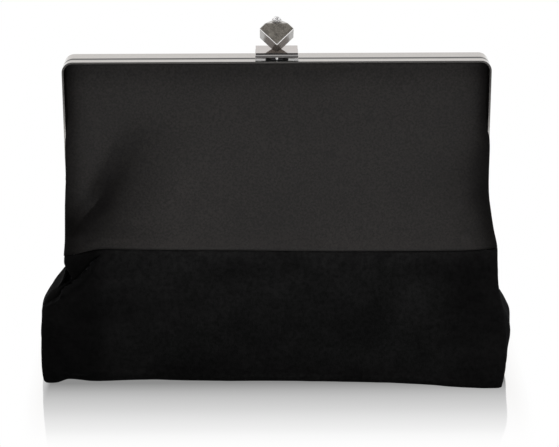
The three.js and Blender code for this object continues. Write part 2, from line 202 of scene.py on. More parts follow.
def blob(x, z, center_x, center_z, radius_x, radius_z, angle=0.0):
    """Round bell of height 1, turned by an angle in degrees."""
    turn = math.radians(angle)
    off_x, off_z = x - center_x, z - center_z
    across = (off_x * math.cos(turn) + off_z * math.sin(turn)) / radius_x
    up = (-off_x * math.sin(turn) + off_z * math.cos(turn)) / radius_z
    return np.exp(-(across * across + up * up))


def add_blobs(base, x, z, blobs):
    """Adds a table of (height, centre x, centre z, radius x, radius z, angle)."""
    for height, *place in blobs:
        base = base + height * blob(x, z, *place)
    return base


def rolled(edge, radius, back):
    """Inward turn of a sheet's border: edge is the distance to it."""
    share = np.clip(1 - edge / radius, 0, 1)
    return back * (1 - np.sqrt(np.clip(1 - share * share, 0, 1)))


def plain_grid(rows, cols, bottom, top):
    """Even grid: places across from -1 to 1, and places up from bottom to top."""
    return np.meshgrid(np.linspace(-1, 1, cols), np.linspace(bottom, top, rows))


def crowded(count, crowding):
    """Row of places from -1 to 1 that crowd towards both ends."""
    even = np.linspace(-1, 1, count)[None, :]
    return np.sin(even * math.pi / 2) * crowding + even * (1 - crowding)


# ---------------------------------------------------------------------------
# mesh tools
# ---------------------------------------------------------------------------


def make_object(name, verts_mm, faces, mat, sharp_angle=50):
    mesh = bpy.data.meshes.new(name)
    mesh.from_pydata([tuple(float(c) * MM for c in v) for v in verts_mm], [], faces)
    mesh.materials.append(mat)
    mesh.polygons.foreach_set("use_smooth", [True] * len(mesh.polygons))
    mesh.set_sharp_from_angle(angle=math.radians(sharp_angle))
    mesh.validate()
    obj = bpy.data.objects.new(name, mesh)
    scene.collection.objects.link(obj)
    return obj


def grid_faces(rows, cols):
    faces = []
    for r in range(rows - 1):
        for c in range(cols - 1):
            k = r * cols + c
            faces.append((k, k + 1, k + cols + 1, k + cols))
    return faces


def grid_normals(grid):
    normals = np.cross(np.gradient(grid, axis=1), np.gradient(grid, axis=0))
    return normals / np.maximum(np.linalg.norm(normals, axis=2, keepdims=True), 1e-9)


# painted shade: a sheet's hidden side and the rim between its two sides are darkened
INNER_SHADE_SHARE = 0.45  # tone of a sheet's hidden side, as a share of its outer side


def shell(name, grid, thickness, mat, flip=False, tone=None):
    """Closed sheet of even thickness under a grid (rows, columns, 3).

    The grid's own side faces out, or its other side with flip."""
    rows, cols = grid.shape[:2]
    normals = -grid_normals(grid) if flip else grid_normals(grid)
    inner = grid - normals * thickness
    verts = np.concatenate([grid.reshape(-1, 3), inner.reshape(-1, 3)])
    count = rows * cols
    faces = []
    for quad in grid_faces(rows, cols):
        outer = quad[:1] + quad[:0:-1] if flip else quad
        faces.append(outer)
        faces.append(tuple(count + k for k in reversed(outer)))
    ring = list(range(cols))
    ring += [r * cols + cols - 1 for r in range(1, rows)]
    ring += [(rows - 1) * cols + c for c in range(cols - 2, -1, -1)]
    ring += [r * cols for r in range(rows - 2, 0, -1)]
    for a, b in zip(ring, ring[1:] + ring[:1]):
        if flip:
            a, b = b, a
        faces.append((b, a, count + a, count + b))
    obj = make_object(name, verts, faces, mat, sharp_angle=60)
    tone = np.ones((rows, cols)) if tone is None else tone
    tones = np.concatenate([tone.ravel(), INNER_SHADE_SHARE * tone.ravel()])
    attribute = obj.data.attributes.new("tone", "FLOAT", "POINT")
    attribute.data.foreach_set("value", tones.astype(np.float32))
    return obj


def simulate_cloth(grid, pin_rows, pin_cols, slack, stiffness, frames, gravity, seed):
    """Runs cloth on a grid with its border pinned and returns how far each point moves."""
    rows, cols = grid.shape[:2]
    rng = np.random.RandomState(seed)
    start = grid + grid_normals(grid) * rng.uniform(-0.05, 0.05, (rows, cols, 1))
    mesh = bpy.data.meshes.new("drape_tmp")
    mesh.from_pydata([tuple(v * MM) for v in start.reshape(-1, 3)], [], grid_faces(rows, cols))
    obj = bpy.data.objects.new("drape_tmp", mesh)
    scene.collection.objects.link(obj)
    group = obj.vertex_groups.new(name="pin")
    for i in range(rows):
        for j in range(cols):
            edge_i, edge_j = min(i, rows - 1 - i), min(j, cols - 1 - j)
            weight = max(1 - edge_i / pin_rows, 1 - edge_j / pin_cols, 0)
            if weight > 0:
                group.add([i * cols + j], float(min(1, weight * 1.2)), "REPLACE")
    cloth = obj.modifiers.new("Cloth", "CLOTH")
    settings = dict(
        quality=6,
        mass=0.4,
        tension_stiffness=stiffness,
        compression_stiffness=stiffness,
        shear_stiffness=stiffness * 0.5,
        bending_stiffness=0.8,
        air_damping=2.0,
        vertex_group_mass="pin",
        pin_stiffness=1.0,
        shrink_min=-slack,
        shrink_max=-slack,
    )
    for key, value in settings.items():
        setattr(cloth.settings, key, value)
    cloth.settings.effector_weights.gravity = gravity
    cloth.collision_settings.use_collision = False
    cloth.point_cache.frame_start = 1
    cloth.point_cache.frame_end = frames
    for k in range(1, frames + 1):
        scene.frame_set(k)
    evaluated = obj.evaluated_get(bpy.context.evaluated_depsgraph_get())
    result = evaluated.to_mesh()
    places = np.zeros(len(result.vertices) * 3)
    result.vertices.foreach_get("co", places)
    moved = places.reshape(rows, cols, 3) / MM - grid
    evaluated.to_mesh_clear()
    bpy.data.objects.remove(obj)
    bpy.data.meshes.remove(mesh)
    scene.frame_set(1)
    return np.nan_to_num(moved)


def spread_lines(count, picked):
    """For each fine line: the coarse line before it and the softened share to the next."""
    place = np.interp(np.arange(count), picked, np.arange(len(picked)))
    before = np.clip(place.astype(int), 0, len(picked) - 2)
    share = place - before
    return before, share * 0.6 + smooth(share) * 0.4


def drape(grid, cap, step=3, **cloth):
    """Moves a grid by at most `cap` mm, as cloth run on every `step`-th line of it."""
    rows, cols = grid.shape[:2]
    pick = lambda n: np.unique(np.round(np.linspace(0, n - 1, max(4, n // step))).astype(int))
    picked_rows, picked_cols = pick(rows), pick(cols)
    moved = simulate_cloth(grid[np.ix_(picked_rows, picked_cols)], **cloth)
    size = np.linalg.norm(moved, axis=2, keepdims=True)
    moved = moved * np.minimum(1, cap * np.tanh(size / cap) / np.maximum(size, 1e-9))
    # spread the coarse movement over the fine grid
    i, share_i = spread_lines(rows, picked_rows)
    j, share_j = spread_lines(cols, picked_cols)
    corner = lambda a, b: moved[np.ix_(a, b)]
    fine = bilinear(corner, i, j, share_i[:, None, None], share_j[None, :, None])
    for _ in range(3):
        fine[1:-1] = (fine[:-2] + 2 * fine[1:-1] + fine[2:]) / 4
        fine[:, 1:-1] = (fine[:, :-2] + 2 * fine[:, 1:-1] + fine[:, 2:]) / 4
    return grid + fine


# ---------------------------------------------------------------------------
# shader tools
# ---------------------------------------------------------------------------


class Graph:
    """Adds nodes to a tree. An input is given a number, a colour, a vector or a socket."""

    def __init__(self, tree):
        self.tree = tree

    def feed(self, socket, value):
        if isinstance(value, bpy.types.NodeSocket):
            self.tree.links.new(value, socket)
        else:
            socket.default_value = (*value, 1) if socket.type == "RGBA" else value

    def add(self, kind, inputs=None, **settings):
        node = self.tree.nodes.new("ShaderNode" + kind)
        for key, value in settings.items():
            setattr(node, key, value)
        for key, value in (inputs or {}).items():
            self.feed(node.inputs[key], value)
        return node

    def calc(self, operation, *values):
        return self.add("Math", dict(enumerate(values)), operation=operation).outputs[0]

    def times(self, first, second):
        return self.calc("MULTIPLY", first, second)

    def split(self, vector):
        return self.add("SeparateXYZ", {"Vector": vector}).outputs

    def span(self, value, start, end, low=0.0, high=1.0, kind="SMOOTHSTEP"):
        """Takes a value from low at start to high at end."""
        limits = {"From Min": start, "From Max": end, "To Min": low, "To Max": high}
        node = self.add("MapRange", {"Value": value, **limits}, interpolation_type=kind)
        return node.outputs["Result"]

    def mix(self, first, second, factor, blend="MIX"):
        node = self.add("Mix", data_type="RGBA", blend_type=blend)
        for k, value in ((0, factor), (6, first), (7, second)):
            self.feed(node.inputs[k], value)
        return node.outputs[2]

    def ramp(self, value, stops):
        """Colour ramp through (place, colour or grey) stops."""
        node = self.add("ValToRGB", {"Fac": value})
        elements = node.color_ramp.elements
        while len(elements) < len(stops):
            elements.new(0.5)
        for k, (place, shade) in enumerate(stops):
            color = shade if isinstance(shade, tuple) else (shade,) * 3
            elements[k].position = place
            elements[k].color = (*color, 1)
        return node.outputs["Color"]


class Shader(Graph):
    """The graph of a material, with texture coordinates of its own."""

    def __init__(self, mat):
        super().__init__(mat.node_tree)
        self.mat = mat
        self.bsdf = self.tree.nodes["Principled BSDF"]
        self.coord = self.add("TexCoord").outputs

    def surface(self, inputs):
        for key, value in inputs.items():
            self.feed(self.bsdf.inputs[key], value)

    def tint(self, factor):
        """Multiplies the present base colour."""
        source = self.bsdf.inputs["Base Color"].links[0].from_socket
        self.surface({"Base Color": self.mix(source, factor, 1.0, "MULTIPLY")})

    def noise(
        self, scale, detail=4, roughness=0.55, stretch=None, distortion=0.0, output="Fac"
    ):
        vector = self.coord["Object"]
        if stretch:
            vector = self.add("Mapping", {"Vector": vector, "Scale": stretch}).outputs["Vector"]
        inputs = {
            "Vector": vector,
            "Scale": scale,
            "Detail": detail,
            "Roughness": roughness,
            "Distortion": distortion,
        }
        return self.add("TexNoise", inputs).outputs[output]

    def ribs(self, rotation, scale, distortion, detail_scale=1.0):
        """Parallel bands, turned by a rotation in radians."""
        turned = self.add("Mapping", {"Vector": self.coord["Object"], "Rotation": rotation})
        inputs = {
            "Vector": turned.outputs["Vector"],
            "Scale": scale,
            "Distortion": distortion,
            "Detail Scale": detail_scale,
        }
        return self.add("TexWave", inputs).outputs["Fac"]

    def bump(self, height, strength, distance, under=None):
        """Relief from a height, laid over another relief."""
        inputs = {"Strength": strength, "Distance": distance, "Height": height}
        if under is not None:
            inputs["Normal"] = under
        return self.add("Bump", inputs).outputs["Normal"]


def new_shader(name):
    mat = bpy.data.materials.new(name)
    mat.use_nodes = True
    return Shader(mat)


# ---------------------------------------------------------------------------
# materials
# ---------------------------------------------------------------------------


def leather_material(name, dark, light, roughness, specular):
    shade = new_shader(name)
    broad = shade.noise(scale=14, detail=5, roughness=0.6)
    middle = shade.noise(scale=90, detail=4, roughness=0.6)
    speck = shade.noise(scale=850, detail=4, roughness=0.7)
    color = shade.ramp(broad, [(0.3, dark), (0.72, light)])
    middle_tint = shade.ramp(middle, [(0.35, 0.86), (0.7, 1.1)])
    speck_tint = shade.ramp(speck, [(0.38, 0.58), (0.62, 1.48)])
    color = shade.mix(color, middle_tint, 0.8, "MULTIPLY")
    color = shade.mix(color, speck_tint, 1.0, "MULTIPLY")
    # painted shade: the borders and the fold's hollow are darkened and made less shiny through the
    # tone attribute
    painted_shade = shade.add("Attribute", attribute_name="tone").outputs
    # grain: small irregular cells with faint creases, and a softer undulation under them
    warp = shade.noise(scale=600, detail=3, roughness=0.6, output="Color")
    warped = shade.add(
        "VectorMath",
        {0: warp, 1: (0.0006, 0.0006, 0.0006), 2: shade.coord["Object"]},
        operation="MULTIPLY_ADD",
    ).outputs["Vector"]
    cells = shade.add(
        "TexVoronoi", {"Scale": 1500, "Vector": warped}, feature="DISTANCE_TO_EDGE"
    ).outputs["Distance"]
    creases = shade.ramp(cells, [(0.0, 0), (0.18, 1)])
    pores = shade.noise(scale=2600, detail=2, roughness=0.5)
    relief = shade.bump(shade.noise(scale=120), strength=0.16, distance=0.0008)
    relief = shade.bump(creases, strength=0.22, distance=0.00012, under=relief)
    relief = shade.bump(pores, strength=0.25, distance=0.00008, under=relief)
    shade.surface({
        "Base Color": shade.mix(color, painted_shade["Color"], 1.0, "MULTIPLY"),
        "Normal": relief,
        "Roughness": shade.ramp(middle, [(0.3, roughness - 0.07), (0.75, roughness + 0.08)]),
        "Specular IOR Level": shade.times(painted_shade["Fac"], specular),
    })
    return shade.mat


def suede_material(name, dark, light):
    shade = new_shader(name)
    # brushed patches where the nap lies different ways
    patch = shade.noise(
        scale=26, detail=5, roughness=0.62, stretch=(1.0, 1.0, 1.5), distortion=0.7
    )
    nap = shade.noise(scale=1400, detail=3, roughness=0.7, stretch=(1.6, 1.6, 0.7))
    fleck = shade.noise(scale=420, detail=5, roughness=0.75)
    middle = tuple((a + b) / 2 for a, b in zip(dark, light))
    color = shade.ramp(patch, [(0.33, dark), (0.5, middle), (0.7, light)])
    fleck_tint = shade.ramp(fleck, [(0.38, 0.55), (0.62, 1.55)])
    color = shade.mix(color, fleck_tint, 0.75, "MULTIPLY")
    # the tone attribute: the nap's own patches together with painted shade by height, at the ends
    # and in the pleat
    nap_and_painted_shade = shade.add("Attribute", attribute_name="tone").outputs["Color"]
    relief = shade.bump(patch, strength=0.18, distance=0.0012)
    relief = shade.bump(fleck, strength=0.35, distance=0.00025, under=relief)
    relief = shade.bump(nap, strength=0.5, distance=0.00018, under=relief)
    shade.surface({
        "Base Color": shade.mix(color, nap_and_painted_shade, 1.0, "MULTIPLY"),
        "Normal": relief,
        "Roughness": 0.95,
        "Specular IOR Level": 0.05,
        "Sheen Weight": 0.02,
        "Sheen Roughness": 0.65,
        "Sheen Tint": (0.55, 0.55, 0.6),
    })
    return shade.mat


RIB_SCALE = 3.1416 / 6.283  # texture scale of the ribs times their pitch


def cloth_material(name, dark, light, pitch):
    """Satin twill: fine diagonal ribs with slubs."""
    shade = new_shader(name)
    ribs = shade.ribs(
        rotation=(0, math.radians(45), 0),
        scale=RIB_SCALE / pitch,
        distortion=1.2,
        detail_scale=2,
    )
    slub = shade.noise(scale=60, detail=4, roughness=0.6, stretch=(1, 1, 0.15))
    color = shade.mix(dark, light, ribs)
    slub_tint = shade.ramp(slub, [(0.3, 0.75), (0.7, 1.25)])
    relief = shade.bump(slub, strength=0.2, distance=0.0005)
    shade.surface({
        "Base Color": shade.mix(color, slub_tint, 0.7, "MULTIPLY"),
        "Normal": shade.bump(ribs, strength=0.35, distance=0.0001, under=relief),
        "Roughness": 0.5,
        "Specular IOR Level": 0.3,
        "Sheen Weight": 0.2,
        "Sheen Roughness": 0.4,
    })
    return shade.mat


def metal_material(name, base, roughness, scratch=0.06):
    """Metal with slightly tarnished patches and fine brushing."""
    shade = new_shader(name)
    wear = shade.noise(scale=180, detail=6, roughness=0.6)
    brushing = shade.noise(scale=1200, detail=3, roughness=0.6, stretch=(0.12, 1.0, 1.0))
    tarnished = tuple(c * 0.95 for c in base)
    relief = shade.bump(wear, strength=scratch, distance=0.0003)
    shade.surface({
        "Base Color": shade.ramp(wear, [(0.3, tarnished), (0.65, base)]),
        "Roughness": shade.ramp(brushing, [(0.3, roughness * 0.75), (0.75, roughness * 1.35)]),
        "Normal": shade.bump(
            brushing, strength=scratch * 1.4, distance=0.00006, under=relief
        ),
        "Metallic": 1.0,
    })
    return shade.mat


def knob_material(name):
    """Dark nickel with painted light: faces that look up and down are painted in different shades,
    level tops brightest, and faces that look down lighter at the knob's outer ends."""
    shade = new_shader(name)
    normal_z = shade.split(shade.coord["Normal"])["Z"]
    looks_up = shade.span(normal_z, -0.35, 0.35, kind="LINEAR")
    level = shade.span(normal_z, 0.75, 0.85, kind="LINEAR")
    out_x = shade.calc("ABSOLUTE", shade.split(shade.coord["Object"])["X"])
    outer = shade.span(out_x, 0.0066, 0.0073)
    under = shade.ramp(outer, [(0.0, (0.185, 0.17, 0.155)), (1.0, (0.34, 0.33, 0.32))])
    color = shade.mix(under, (0.205, 0.192, 0.172), looks_up)
    color = shade.mix(color, (0.62, 0.61, 0.6), level)
    blotch = shade.noise(scale=330, detail=5, roughness=0.65)
    blotch_tint = shade.ramp(blotch, [(0.32, (0.72, 0.71, 0.7)), (0.66, (1.18, 1.17, 1.15))])
    fine = shade.noise(scale=1500, detail=3, roughness=0.6, stretch=(0.2, 1, 1))
    relief = shade.bump(blotch, strength=0.1, distance=0.0002)
    shade.surface({
        "Base Color": shade.mix(color, blotch_tint, 0.5, "MULTIPLY"),
        "Normal": shade.bump(fine, strength=0.08, distance=0.00008, under=relief),
        "Roughness": shade.ramp(blotch, [(0.3, 0.2), (0.7, 0.34)]),
        "Metallic": 1.0,
    })
    return shade.mat


def crystal_material(name):
    shade = new_shader(name)
    tiny = shade.noise(scale=900, detail=2, roughness=0.5)
    shade.surface({
        "Base Color": (0.97, 0.97, 0.985),
        "Roughness": 0.0,
        "Transmission Weight": 1.0,
        "IOR": 1.75,
        "Normal": shade.bump(tiny, strength=0.02, distance=0.00005),
    })
    return shade.mat


def board_material(name):
    shade = new_shader(name)
    fibre = shade.noise(scale=300, detail=5, roughness=0.7, stretch=(0.3, 1, 1))
    shade.surface({
        "Base Color": shade.ramp(fibre, [(0.3, (0.22, 0.17, 0.12)), (0.7, (0.36, 0.29, 0.21))]),
        "Normal": shade.bump(fibre, strength=0.3, distance=0.0002),
        "Roughness": 0.85,
        "Specular IOR Level": 0.2,
    })
    return shade.mat


def cord_material(name):
    shade = new_shader(name)
    twist = shade.ribs(rotation=(0.6, 0.6, 0), scale=420, distortion=1.5)
    stops = [(0.1, (0.006, 0.005, 0.004)), (0.8, (0.02, 0.015, 0.011))]
    shade.surface({
        "Base Color": shade.ramp(twist, stops),
        "Normal": shade.bump(twist, strength=0.5, distance=0.0003),
        "Roughness": 0.9,
        "Specular IOR Level": 0.15,
    })
    return shade.mat


def paint_joint_shade(mat, joint_y=-0.0022, wobble=0.0006):
    """Painted shade: a dark line where the frame's two halves meet, standing in for the shaded gap
    between them.
    """
    shade = Shader(mat)
    y = shade.split(shade.coord["Object"])["Y"]
    waver = shade.noise(scale=35, detail=3, roughness=0.5)
    wavy_y = shade.calc("MULTIPLY_ADD", waver, wobble, y)
    # half the wobble is its mean, taken off again
    offset = shade.calc("ADD", wavy_y, -joint_y - wobble / 2)
    shade.tint(shade.span(shade.calc("ABSOLUTE", offset), 0.0012, 0.0022, low=0.04))


def lit_edges(mat, strength, window):
    """Painted highlight: edges glow white through emission, within a (low, high) window of
    outward directions: x size, y, z."""
    shade = Shader(mat)
    x, y, z = shade.split(shade.coord["Normal"])
    inside = None
    for direction, (low, high) in zip((shade.calc("ABSOLUTE", x), y, z), window):
        for operation, limit in (("GREATER_THAN", low), ("LESS_THAN", high)):
            passed = shade.calc(operation, direction, limit)
            inside = passed if inside is None else shade.times(inside, passed)
    shade.surface({
        "Emission Strength": shade.times(inside, strength),
        "Emission Color": (0.95, 0.94, 0.93),
    })


def lit_step(mat, node):
    """Painted highlight and shade on the plate: its lower layer glows on its step and faintly on
    its front; the front of the upper layer is darkened."""
    origin = NODES[node].matrix_world.translation
    shade = Shader(mat)
    _, normal_y, normal_z = shade.split(shade.coord["Normal"])
    _, y, z = shade.split(shade.coord["Object"])
    low = shade.calc("LESS_THAN", z, 0.18965 - origin.z)
    looks_up = shade.calc("GREATER_THAN", normal_z, 0.9)
    step_glow = shade.times(looks_up, shade.times(low, 0.52))
    step_glow = shade.times(step_glow, shade.calc("LESS_THAN", y, -0.0084 - origin.y))
    looks_front = shade.calc("LESS_THAN", normal_y, -0.9)
    front_glow = shade.times(looks_front, shade.times(low, 0.05))
    looks_front = shade.calc("LESS_THAN", normal_y, -0.9)
    high = shade.times(looks_front, shade.calc("GREATER_THAN", z, 0.1896 - origin.z))
    shade.tint(shade.calc("SUBTRACT", 1.0, shade.times(high, 0.72)))
    shade.surface({
        "Emission Strength": shade.calc("ADD", step_glow, front_glow),
        "Emission Color": (0.95, 0.93, 0.92),
    })


def shaded_window(mat, node):
    """The catch window's sill lies in the shadow of the plate."""
    base = NODES[node].matrix_world.translation.z
    shade = Shader(mat)
    x, _, z = shade.split(shade.coord["Object"])
    side = shade.span(shade.calc("ABSOLUTE", x), 0.0058, 0.0068, low=0.03)
    foot = shade.span(z, 0.18635 - base, 0.1866 - base, low=0.45, kind="LINEAR")
    shade.tint(shade.times(side, foot))


LEATHER = leather_material(
    "smooth_leather",
    dark=(0.0168, 0.015, 0.0142),
    light=(0.0247, 0.022, 0.0207),
    roughness=0.55,
    specular=0.42,
)
SUEDE = suede_material("suede", dark=(0.005, 0.005, 0.005), light=(0.0098, 0.0098, 0.0098))
LINING = cloth_material(
    "lining_cloth", dark=(0.012, 0.012, 0.014), light=(0.028, 0.028, 0.032), pitch=0.0007
)
WHITE_METAL = (0.95, 0.94, 0.93)
METAL = metal_material("polished_metal", (0.66, 0.645, 0.63), roughness=0.13)
FRAME_METAL = metal_material("polished_frame", (0.6, 0.578, 0.558), roughness=0.13)
paint_joint_shade(FRAME_METAL)
# painted highlight: the knob's bevelled edges glow by emission
METAL_BRIGHT = metal_material("glowing_edge_highlight", (0.8, 0.79, 0.78), roughness=0.3)
lit_edges(METAL_BRIGHT, strength=0.75, window=((0.2, 0.75), (-1.0, -0.55), (-0.45, 0.45)))
PLATE_METAL = metal_material(
    "mirror_plate", (0.605, 0.57, 0.558), roughness=0.09, scratch=0.04
)
lit_step(PLATE_METAL, "clasp_plate")
SATIN = metal_material("satin_silver", WHITE_METAL, roughness=0.45)
STEEL = metal_material("spring_steel", (0.55, 0.54, 0.53), roughness=0.28, scratch=0.1)
KNOB = knob_material("gunmetal")
CRYSTAL = crystal_material("crystal")
BOARD = board_material("board")
CORD = cord_material("cord")
THREAD = cloth_material(
    "thread", dark=(0.02, 0.02, 0.022), light=(0.05, 0.05, 0.055), pitch=0.0003
)
HOUSING = metal_material("catch_satin", WHITE_METAL, roughness=0.42)
shaded_window(HOUSING, "catch_housing")
RIVET_HEAD = metal_material("rivet_head", WHITE_METAL, roughness=0.3)
# painted highlight: the spring rivet's head glows faintly by emission
RIVET_HEAD.node_tree.nodes["Principled BSDF"].inputs["Emission Strength"].default_value = 0.4
SPRING = metal_material("blued_spring", (0.09, 0.09, 0.1), roughness=0.35, scratch=0.1)

# ---------------------------------------------------------------------------
# the bag's measured shape, in millimetres
# ---------------------------------------------------------------------------

# (z, depth from y = 0): at mid width, at the plain profile's sides, at the sheets' side borders
half_depth = curve([
    (0, 26.2), (8, 27.8), (20, 28.4), (45, 26.2), (77, 19.6), (98, 15.6), (119, 12.9),
    (150, 11.1), (183, 9.3),
])
edge_depth = curve([
    (0, 25), (8, 26), (20, 26), (45, 23.2), (77, 16.4), (98, 12.3), (119, 9.9), (150, 9.1),
    (183, 9.0),
])
border_depth = curve([
    (0, 24.6), (20, 25.4), (45, 22.4), (60, 17.7), (70, 15.3), (77, 13.7), (90, 11.0),
    (100, 9.8), (108, 9.2), (114, 9.1), (120, 9.6), (126, 10.2), (131, 10.4), (137, 10.1),
    (144, 9.3), (150, 8.0), (156, 7.1), (170, 6.9), (186, 6.8),
])

# (z, half width) of the front leather above the seam
leather_left = curve([
    (70, 122.2), (76, 121.9), (80, 121.7), (90, 121.5), (100, 121.2), (108, 120.5),
    (116, 119.8), (126, 119.5), (134, 119.4), (141, 119.1), (148, 118.6), (154, FRAME_IN),
    (160, FRAME_IN), (200, FRAME_IN),
])
leather_right = curve([
    (70, 126.2), (76, 125.9), (80.5, 125.2), (87, 123.7), (97, 122.0), (105, 120.8),
    (112, 120.3), (120, 120.1), (128, 120.0), (136, 120.0), (142, 119.6), (149, 118.6),
    (155, FRAME_IN), (160, FRAME_IN), (200, FRAME_IN),
])
# the rear, a little narrower so that it stays behind the front's outline
rear_left = curve([
    (70, 119.9), (77, 119.8), (100, 119.3), (106, 118.9), (112, FRAME_IN), (200, FRAME_IN),
])
rear_right = curve([
    (70, 123.3), (77, 123.0), (87, 121.8), (97, 120.6), (105, 119.3), (112, FRAME_IN),
    (200, FRAME_IN),
])
rear_suede_left = curve([
    (0, 131.6), (4, 133.0), (12, 134.4), (28, 134.4), (34, 133.4), (39, 131.6), (45, 128.2),
    (51, 124.2), (57, 120.8), (65, 119.8), (77, 119.8),
])
rear_suede_right = curve([
    (0, 128.5), (4, 130.5), (12, 132.2), (24, 132.4), (30, 131.4), (36, 129.2), (42, 126.6),
    (50, 125.0), (57, 124.2), (65, 123.8), (77, 123.0),
])
# (z, half width) of the front suede below the seam
suede_left = curve([
    (0, 134.0), (1.5, 134.9), (8, 135.7), (22, 135.6), (36, 134.9), (43, 134.5), (47, 133.6),
    (50.5, 132.0), (54, 128.6), (56.3, 124.2), (58.2, 119.4), (59.7, 117.4), (62.5, 118.4),
    (66.5, 120.8), (70, 121.8), (78, 121.6),
])
suede_right = curve([
    (0, 128.4), (5, 129.4), (15, 130.7), (30, 130.9), (40, 130.0), (47, 128.2), (52, 127.2),
    (57, 126.5), (63, 126.3), (76, 126.0),
])
LEATHER_SIDES = {FRONT: (leather_left, leather_right), REAR: (rear_left, rear_right)}
SUEDE_SIDES = {FRONT: (suede_left, suede_right), REAR: (rear_suede_left, rear_suede_right)}

# (x, z) of the front seam between leather and suede
seam_z = curve([
    (-135, 70.0), (-119.9, 73.3), (-114.2, 74.7), (-108.5, 76.3), (-102.8, 77.7),
    (-97.1, 78.4), (-81.8, 78.3), (-43.8, 77.9), (0, 77.5), (31.8, 77.0), (69.9, 76.7),
    (98.3, 76.5), (135, 76.2),
])
# (x, distance): how far the front's lower edge stands out past the plain profile
bottom_out = curve([
    (-133, 3.6), (-127, 2.4), (-121, -2.8), (-107, -0.2), (-73, -1.7), (-38, 0.4), (4, 1.3),
    (39, 3.1), (66, 5.2), (87, 8.0), (100, 11.2), (114, 13.8), (125, 14.2), (130, 13.4),
])
# (z, half width) of the gussets at their front edge and at mid depth
gusset_edge = {
    LEFT: curve([
        (0, 131.5), (1, 132.5), (5, 133.5), (20, 133.8), (36, 133.2), (45, 131.4),
        (52, 128.0), (60, 122.8), (66, 121.2), (70, 121.8), (77, 121.6), (90, 121.0),
        (100, 120.5), (107, 119.6), (112, 118.5),
    ]),
    RIGHT: curve([
        (0, 127.5), (1, 128.5), (10, 130.0), (25, 130.6), (36, 130.0), (42, 128.6),
        (48, 127.0), (56, 125.8), (63, 125.8), (77, 125.4), (87, 123.5), (97, 121.8),
        (107, 120.2), (112, 118.5),
    ]),
}
gusset_mid = {
    LEFT: curve([
        (0, 134.6), (3, 137.0), (11, 138.0), (26, 137.7), (33.7, 137.1), (37.5, 136.9),
        (41.3, 135.7), (45, 134.0), (48.8, 132.0), (52.5, 130.2), (56, 127.9), (60, 124.7),
        (66, 120.0), (72, 117.0), (80, 115.8), (92, 115.4), (104, 115.4), (112, 115.6),
    ]),
    RIGHT: curve([
        (0, 128.8), (2, 131.6), (7, 133.4), (14.8, 134.0), (22.4, 135.1), (28.7, 135.9),
        (33.7, 135.6), (37.5, 134.6), (41.3, 132.6), (45, 130.0), (48.2, 127.6), (52, 125.4),
        (60, 122.0), (72, 119.0), (84, 117.4), (98, 116.2), (112, 115.6),
    ]),
}
# (z, half width) of the lining
lining_width = curve([
    (0, 121), (8, 126), (30, 127.5), (45, 124), (60, 118), (77, 115.5), (100, 114.0),
    (112, 114.2), (181, 115.4),
])

# (x, z) lines on the front: the suede's pleat, the flap's outer edge, the leather's hollow
CREASE = [
    (-98.2, 75.9), (-102.6, 72.1), (-105.5, 68.7), (-107.8, 65.6), (-110.7, 62.5),
    (-114.1, 59.2), (-119.5, 55.6),
]
FLAP_EDGE = [(-120.6, 68.2), (-119.0, 65), (-117.6, 61.6), (-116.8, 59.6)]
FOLD = [
    (-117, 80.5), (-111.8, 87.7), (-106.1, 95), (-101.4, 100.6), (-97.4, 106.3),
    (-91.5, 117.8), (-85, 130.8), (-78.6, 141.4), (-73.3, 150.6),
]

# swellings (+) and dents (-): height, centre x, centre z, radius x, radius z, angle
FRONT_SUEDE_BLOBS = [
    # under the crease and down the left side
    (1.6, -118, 46, 16, 12), (-1.1, -98, 30, 12, 26, 38), (0.8, -76, 20, 20, 14),
    # at the lower right
    (-1.1, 114, 47, 6, 2.4, -18), (-0.9, 108, 36, 6, 5), (-1.4, 101, 31, 11, 9, -25),
    (1.0, 108, 20, 12, 8), (-0.8, 121, 26, 4, 10), (0.9, 118, 58, 10, 7),
]
REAR_SUEDE_BLOBS = [(-1.0, -100, 40, 16, 8, 40), (-0.9, 96, 44, 18, 7, -35)]
# slanting hollows where the rear panel hangs off the frame
REAR_LEATHER_BLOBS = [(-1.3, 78, 100, 8, 30, -32), (-0.9, -84, 96, 7, 24, 30)]
# lighter and darker patches of the front suede, in the same columns
LIGHT_PATCHES = [(0.24, 79, 54, 13, 8, 20), (0.12, -60, 14, 16, 8), (0.14, 10, 66, 60, 12)]
DARK_PATCHES = [
    (-0.2, 62, 58, 8, 16, -25), (-0.2, 100, 32, 9, 8), (-0.16, -88, 52, 10, 16, 30),
]

# painted border shade on the leather, as places and shares: by distance from the left, right and top
# borders
LEFT_TONE = (
    [0, 1.7, 2.8, 4.4, 6, 8, 10, 12.5, 16, 26, 40],
    [0.34, 0.36, 0.4, 0.46, 0.57, 0.68, 0.77, 0.84, 0.9, 0.96, 1.0],
)
RIGHT_TONE = ([0, 4, 8, 13, 19, 27, 40, 60], [0.26, 0.29, 0.42, 0.66, 0.82, 0.91, 0.97, 1.0])
TOP_TONE = ([0, 2, 4, 7, 9, 14, 20], [0.88, 0.8, 0.76, 0.8, 0.86, 0.95, 1.0])
# shadow of the fold: by distance to its right and left, and its strength by height
FOLD_RIGHT = ([0, 5, 10, 15, 25, 38], [1, 0.95, 0.69, 0.48, 0.26, 0])
FOLD_LEFT = ([0, 5, 7.5, 10, 13, 17], [1, 0.88, 0.55, 0.28, 0.1, 0.0])
FOLD_STRENGTH = (
    [77, 80, 90, 103, 117, 135, 144, 152, 160],
    [0.62, 0.66, 0.76, 0.77, 0.64, 0.38, 0.28, 0.1, 0],
)
# painted shade and light on the suede by height: darker near the floor, lighter under the seam
SUEDE_TONE = ([0, 4, 12, 24, 45, 66, 72, 78], [0.72, 0.78, 0.92, 0.99, 1.0, 1.04, 1.26, 1.4])


def half_width(sides, x, z):
    left, right = sides
    return np.where(x < 0, left(z), right(z))


def seam(side, x):
    return seam_z(x) if side == FRONT else REAR_SEAM_Z + 0 * x


def profile(z, share):
    """Plain depth at a share of the half width."""
    return edge_depth(z) + (half_depth(z) - edge_depth(z)) * (1 - share**3.2)


